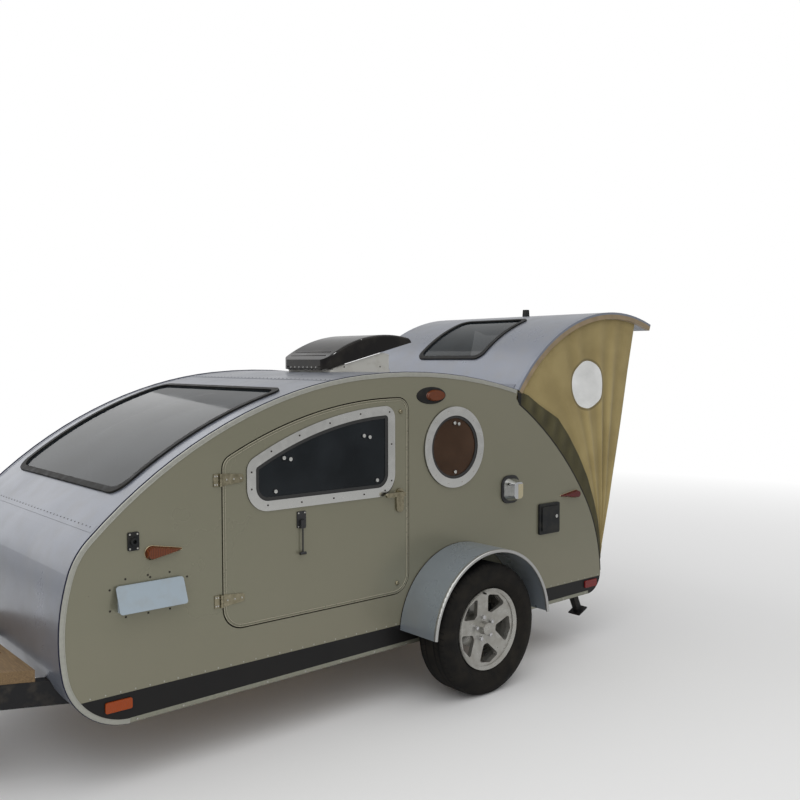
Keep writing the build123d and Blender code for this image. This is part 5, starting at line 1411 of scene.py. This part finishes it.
def canvas_finish(name, dark, light, valley_y, ridge_y, film=False):
    """Make a woven canvas with painted shade in the valleys of its folds, and the film window if
    it has one.
    """
    made, flow, _ = finish(name, Specular_IOR_Level=0.2, Sheen_Weight=0.1)
    height = flow.node("Attribute", {"attribute_name": "fold"}, out="Fac")
    place = flow.node("TexCoord", out="UV")
    weft = flow.node("TexWave", {"bands_direction": "X"}, {"Vector": place, "Scale": WEAVE_SCALE})
    warp = flow.node("TexWave", {"bands_direction": "Y"}, {"Vector": place, "Scale": WEAVE_SCALE})
    cloud = grain(flow, place, 5, 5)
    paint = between(flow, ramp(flow, cloud, 0.36, 0.64), dark, light)
    paint = between(flow, (weft * warp) * 0.25, paint, toned(light, 1.5))
    # painted shade: the canvas darkens towards the valleys of its folds
    fold_shade = ramp(flow, height, valley_y, ridge_y, 0.6, 0.0)
    paint = between(flow, fold_shade, paint, toned(dark, 0.35))
    rough = gloss(flow, cloud, 0.75, 0.9)
    if film:
        location = (-FILM_AT[0], -FILM_AT[1], 0)
        centre = flow.node("Mapping", sockets={"Vector": place, "Location": location})
        away = flow.node("VectorMath", {"operation": "LENGTH"}, {0: centre}, out="Value")
        pane = away < FILM_RADIUS
        stitch = (away < FILM_RADIUS + FILM_STITCH) - pane
        paint = between(flow, stitch * 0.55, paint, STITCH_TONE)
        paint = between(flow, pane, paint, FILM_TONE)
        rough = rough * (1 - pane) + pane * 0.12
        feed(made, "Alpha", 1 - pane * ramp(flow, cloud, 0.3, 0.7, 0.62, 0.74))
    feed(made, "Base Color", paint)
    feed(made, "Roughness", rough)
    feed(made, "Normal", bump(flow, weft * 0.5 + warp * 0.5, 0.0003))
    return made


khaki = canvas_finish(
    "khaki_canvas", KHAKI_DARK, KHAKI_LIGHT, valley_y=0.698, ridge_y=0.717, film=True
)
# the hem's finish paints the shade that falls on the turned-back canvas
shaded_hem = canvas_finish("shaded_canvas_hem", HEM_SHADE_DARK, HEM_SHADE_LIGHT, valley_y=0.7225, ridge_y=0.7262)
curtain = cloth(*CURTAIN_GRID, curtain_shape)
hem = cloth(*HEM_GRID, hem_shape)
flap = stepped(panel(rounded(CORNER_FLAP, FLAP_CORNERS), FLAP_Y), FLAP_STEPS)
pairs = (("right", twin(curtain), twin(hem), twin(flap)), ("left", curtain, hem, flap))
for side_name, sheet, border, corner in pairs:
    for piece, name, made, slot in (
        (sheet, f"hatch_canvas_{side_name}", khaki, "canvas"),
        (border, f"canvas_hem_{side_name}", shaded_hem, "canvas"),
        (corner, f"corner_flap_{side_name}", rubber_black, "rubber_black"),
    ):
        settle(piece, name, made, body=None, angle=60)
        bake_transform(piece)
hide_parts("hatch_curtains")


# Mattress
# A foam mattress in striped cotton ticking fills the cabin floor. It is cut to the cabin, with
# rounded edges, and tufted in a grid.
MATTRESS_VOXEL = 0.018
MATTRESS_CAP = 0.010
MATTRESS_ROUND = 0.028
MATTRESS_INSIDE = 0.001
PULL = 0.010
PUFF_STEPS = 20
PUFF_PRESSURE = 4
TUFT_PITCH = 0.29
TUFT_DEPTH = 0.014
STRIPE_SCALE = 12.0
TICKING_SCALE = 220.0
COTTON_DARK = (0.52, 0.49, 0.43)
COTTON_LIGHT = (0.62, 0.59, 0.52)
STRIPE_BLUE = (0.20, 0.24, 0.31)
low, high = (Vector(corner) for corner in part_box("mattress"))
mattress = primitive(
    bpy.ops.mesh.primitive_cube_add,
    size=1,
    location=(low + high) / 2,
    scale=high - low - Vector((PULL, PULL, PULL)) * 2,
)
bpy.ops.object.transform_apply(location=True, scale=True)
modify(mattress, "BEVEL", width=MATTRESS_ROUND, segments=4)
mattress.data.remesh_voxel_size = MATTRESS_VOXEL
bpy.ops.object.voxel_remesh()
start = [vertex.co.copy() for vertex in mattress.data.vertices]
puff = mattress.modifiers.new("puff", "CLOTH")
puff.settings.use_pressure = True
puff.settings.uniform_pressure_force = PUFF_PRESSURE
puff.settings.effector_weights.gravity = 0
puff.point_cache.frame_start = 1
puff.point_cache.frame_end = PUFF_STEPS
for step in range(1, PUFF_STEPS + 1):
    bpy.context.scene.frame_set(step)
bpy.ops.object.modifier_apply(modifier=puff.name)
bpy.context.scene.frame_set(1)
for vertex, was in zip(mattress.data.vertices, start):
    move = vertex.co - was
    if move.length > MATTRESS_CAP:
        vertex.co = was + move.normalized() * MATTRESS_CAP
    # a tuft is deepest where a row across meets a row along, and only the top side is tufted
    lift = max(0, (was.z - low.z) / (high.z - low.z) - 0.5) * 2
    u = math.cos(math.pi * (was.x - low.x) / TUFT_PITCH) ** 2
    v = math.cos(math.pi * (was.y - low.y) / TUFT_PITCH) ** 2
    vertex.co.z -= TUFT_DEPTH * lift * (max(u, v) ** 8 * 0.45 + (u * v) ** 3 * 0.55)
    for axis in range(3):
        inside = max(vertex.co[axis], low[axis] + MATTRESS_INSIDE)
        vertex.co[axis] = min(inside, high[axis] - MATTRESS_INSIDE)
modify(mattress, "SUBSURF", levels=1, render_levels=1)
ticking, flow, place = finish("mattress_ticking", Specular_IOR_Level=0.2, Sheen_Weight=0.2)
wave = flow.node("TexWave", {"bands_direction": "Y"}, {"Vector": place, "Scale": STRIPE_SCALE})
weave = flow.node("TexWave", {"bands_direction": "X"}, {"Vector": place, "Scale": TICKING_SCALE})
cloud = grain(flow, place, 6, 5)
cotton = between(flow, ramp(flow, cloud, 0.35, 0.65), COTTON_DARK, COTTON_LIGHT)
stripe = ramp(flow, wave, 0.6, 0.7)
feed(ticking, "Base Color", between(flow, stripe * 0.6, cotton, STRIPE_BLUE))
feed(ticking, "Roughness", gloss(flow, cloud, 0.8, 0.95))
feed(ticking, "Normal", bump(flow, weave * 0.5 + cloud * 0.5, 0.0004))
settle(mattress, "padded_mattress", ticking, angle=60)
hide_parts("mattress")


# Vent lid details
# The smoked lid has two moulded steps across its nose, of the same acrylic, and a row of small
# bright-edged slots below them.
STEP_XS = (0.452, 0.420)
STEP_SIZE = (0.330, 0.007, 0.004)
STEP_ROUND = 0.0015
SLOT = ((0.0055, 0), (0.0050, 0.0012), (0.0036, 0.0012), (0.0030, 0.0002))
SLOT_REACH = 0.120
SLOT_COUNT = 7
SLOT_RISE = 0.016
slot_white = plastic("slot_edge", (0.32, 0.32, 0.31), 0.4, 0.5, dusty=0.1)
for number, x in enumerate(STEP_XS):
    step = primitive(bpy.ops.mesh.primitive_cube_add, size=1, scale=STEP_SIZE)
    bpy.ops.object.transform_apply(scale=True)
    modify(step, "BEVEL", width=STEP_ROUND, segments=3)
    seat(step, *landing("vent_lid", (AXLE + x, 0, 2.2), (0, 0, -1)))
    settle(step, f"vent_lid_step_{number}", smoke, "vent_lid")
slot_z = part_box("vent_lid")[0][2] + SLOT_RISE
seats = []
for y in along(-SLOT_REACH, SLOT_REACH, SLOT_COUNT):
    seats.append(landing("vent_lid", (AXLE + 1.0, y, slot_z), (-1, 0, 0)))
row("vent_lid_slots", turned(SLOT, SCREW_SIDES), seats, slot_white, "vent_lid")


# Size
# The box of the finished trailer, over everything that renders except the floor.
low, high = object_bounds()
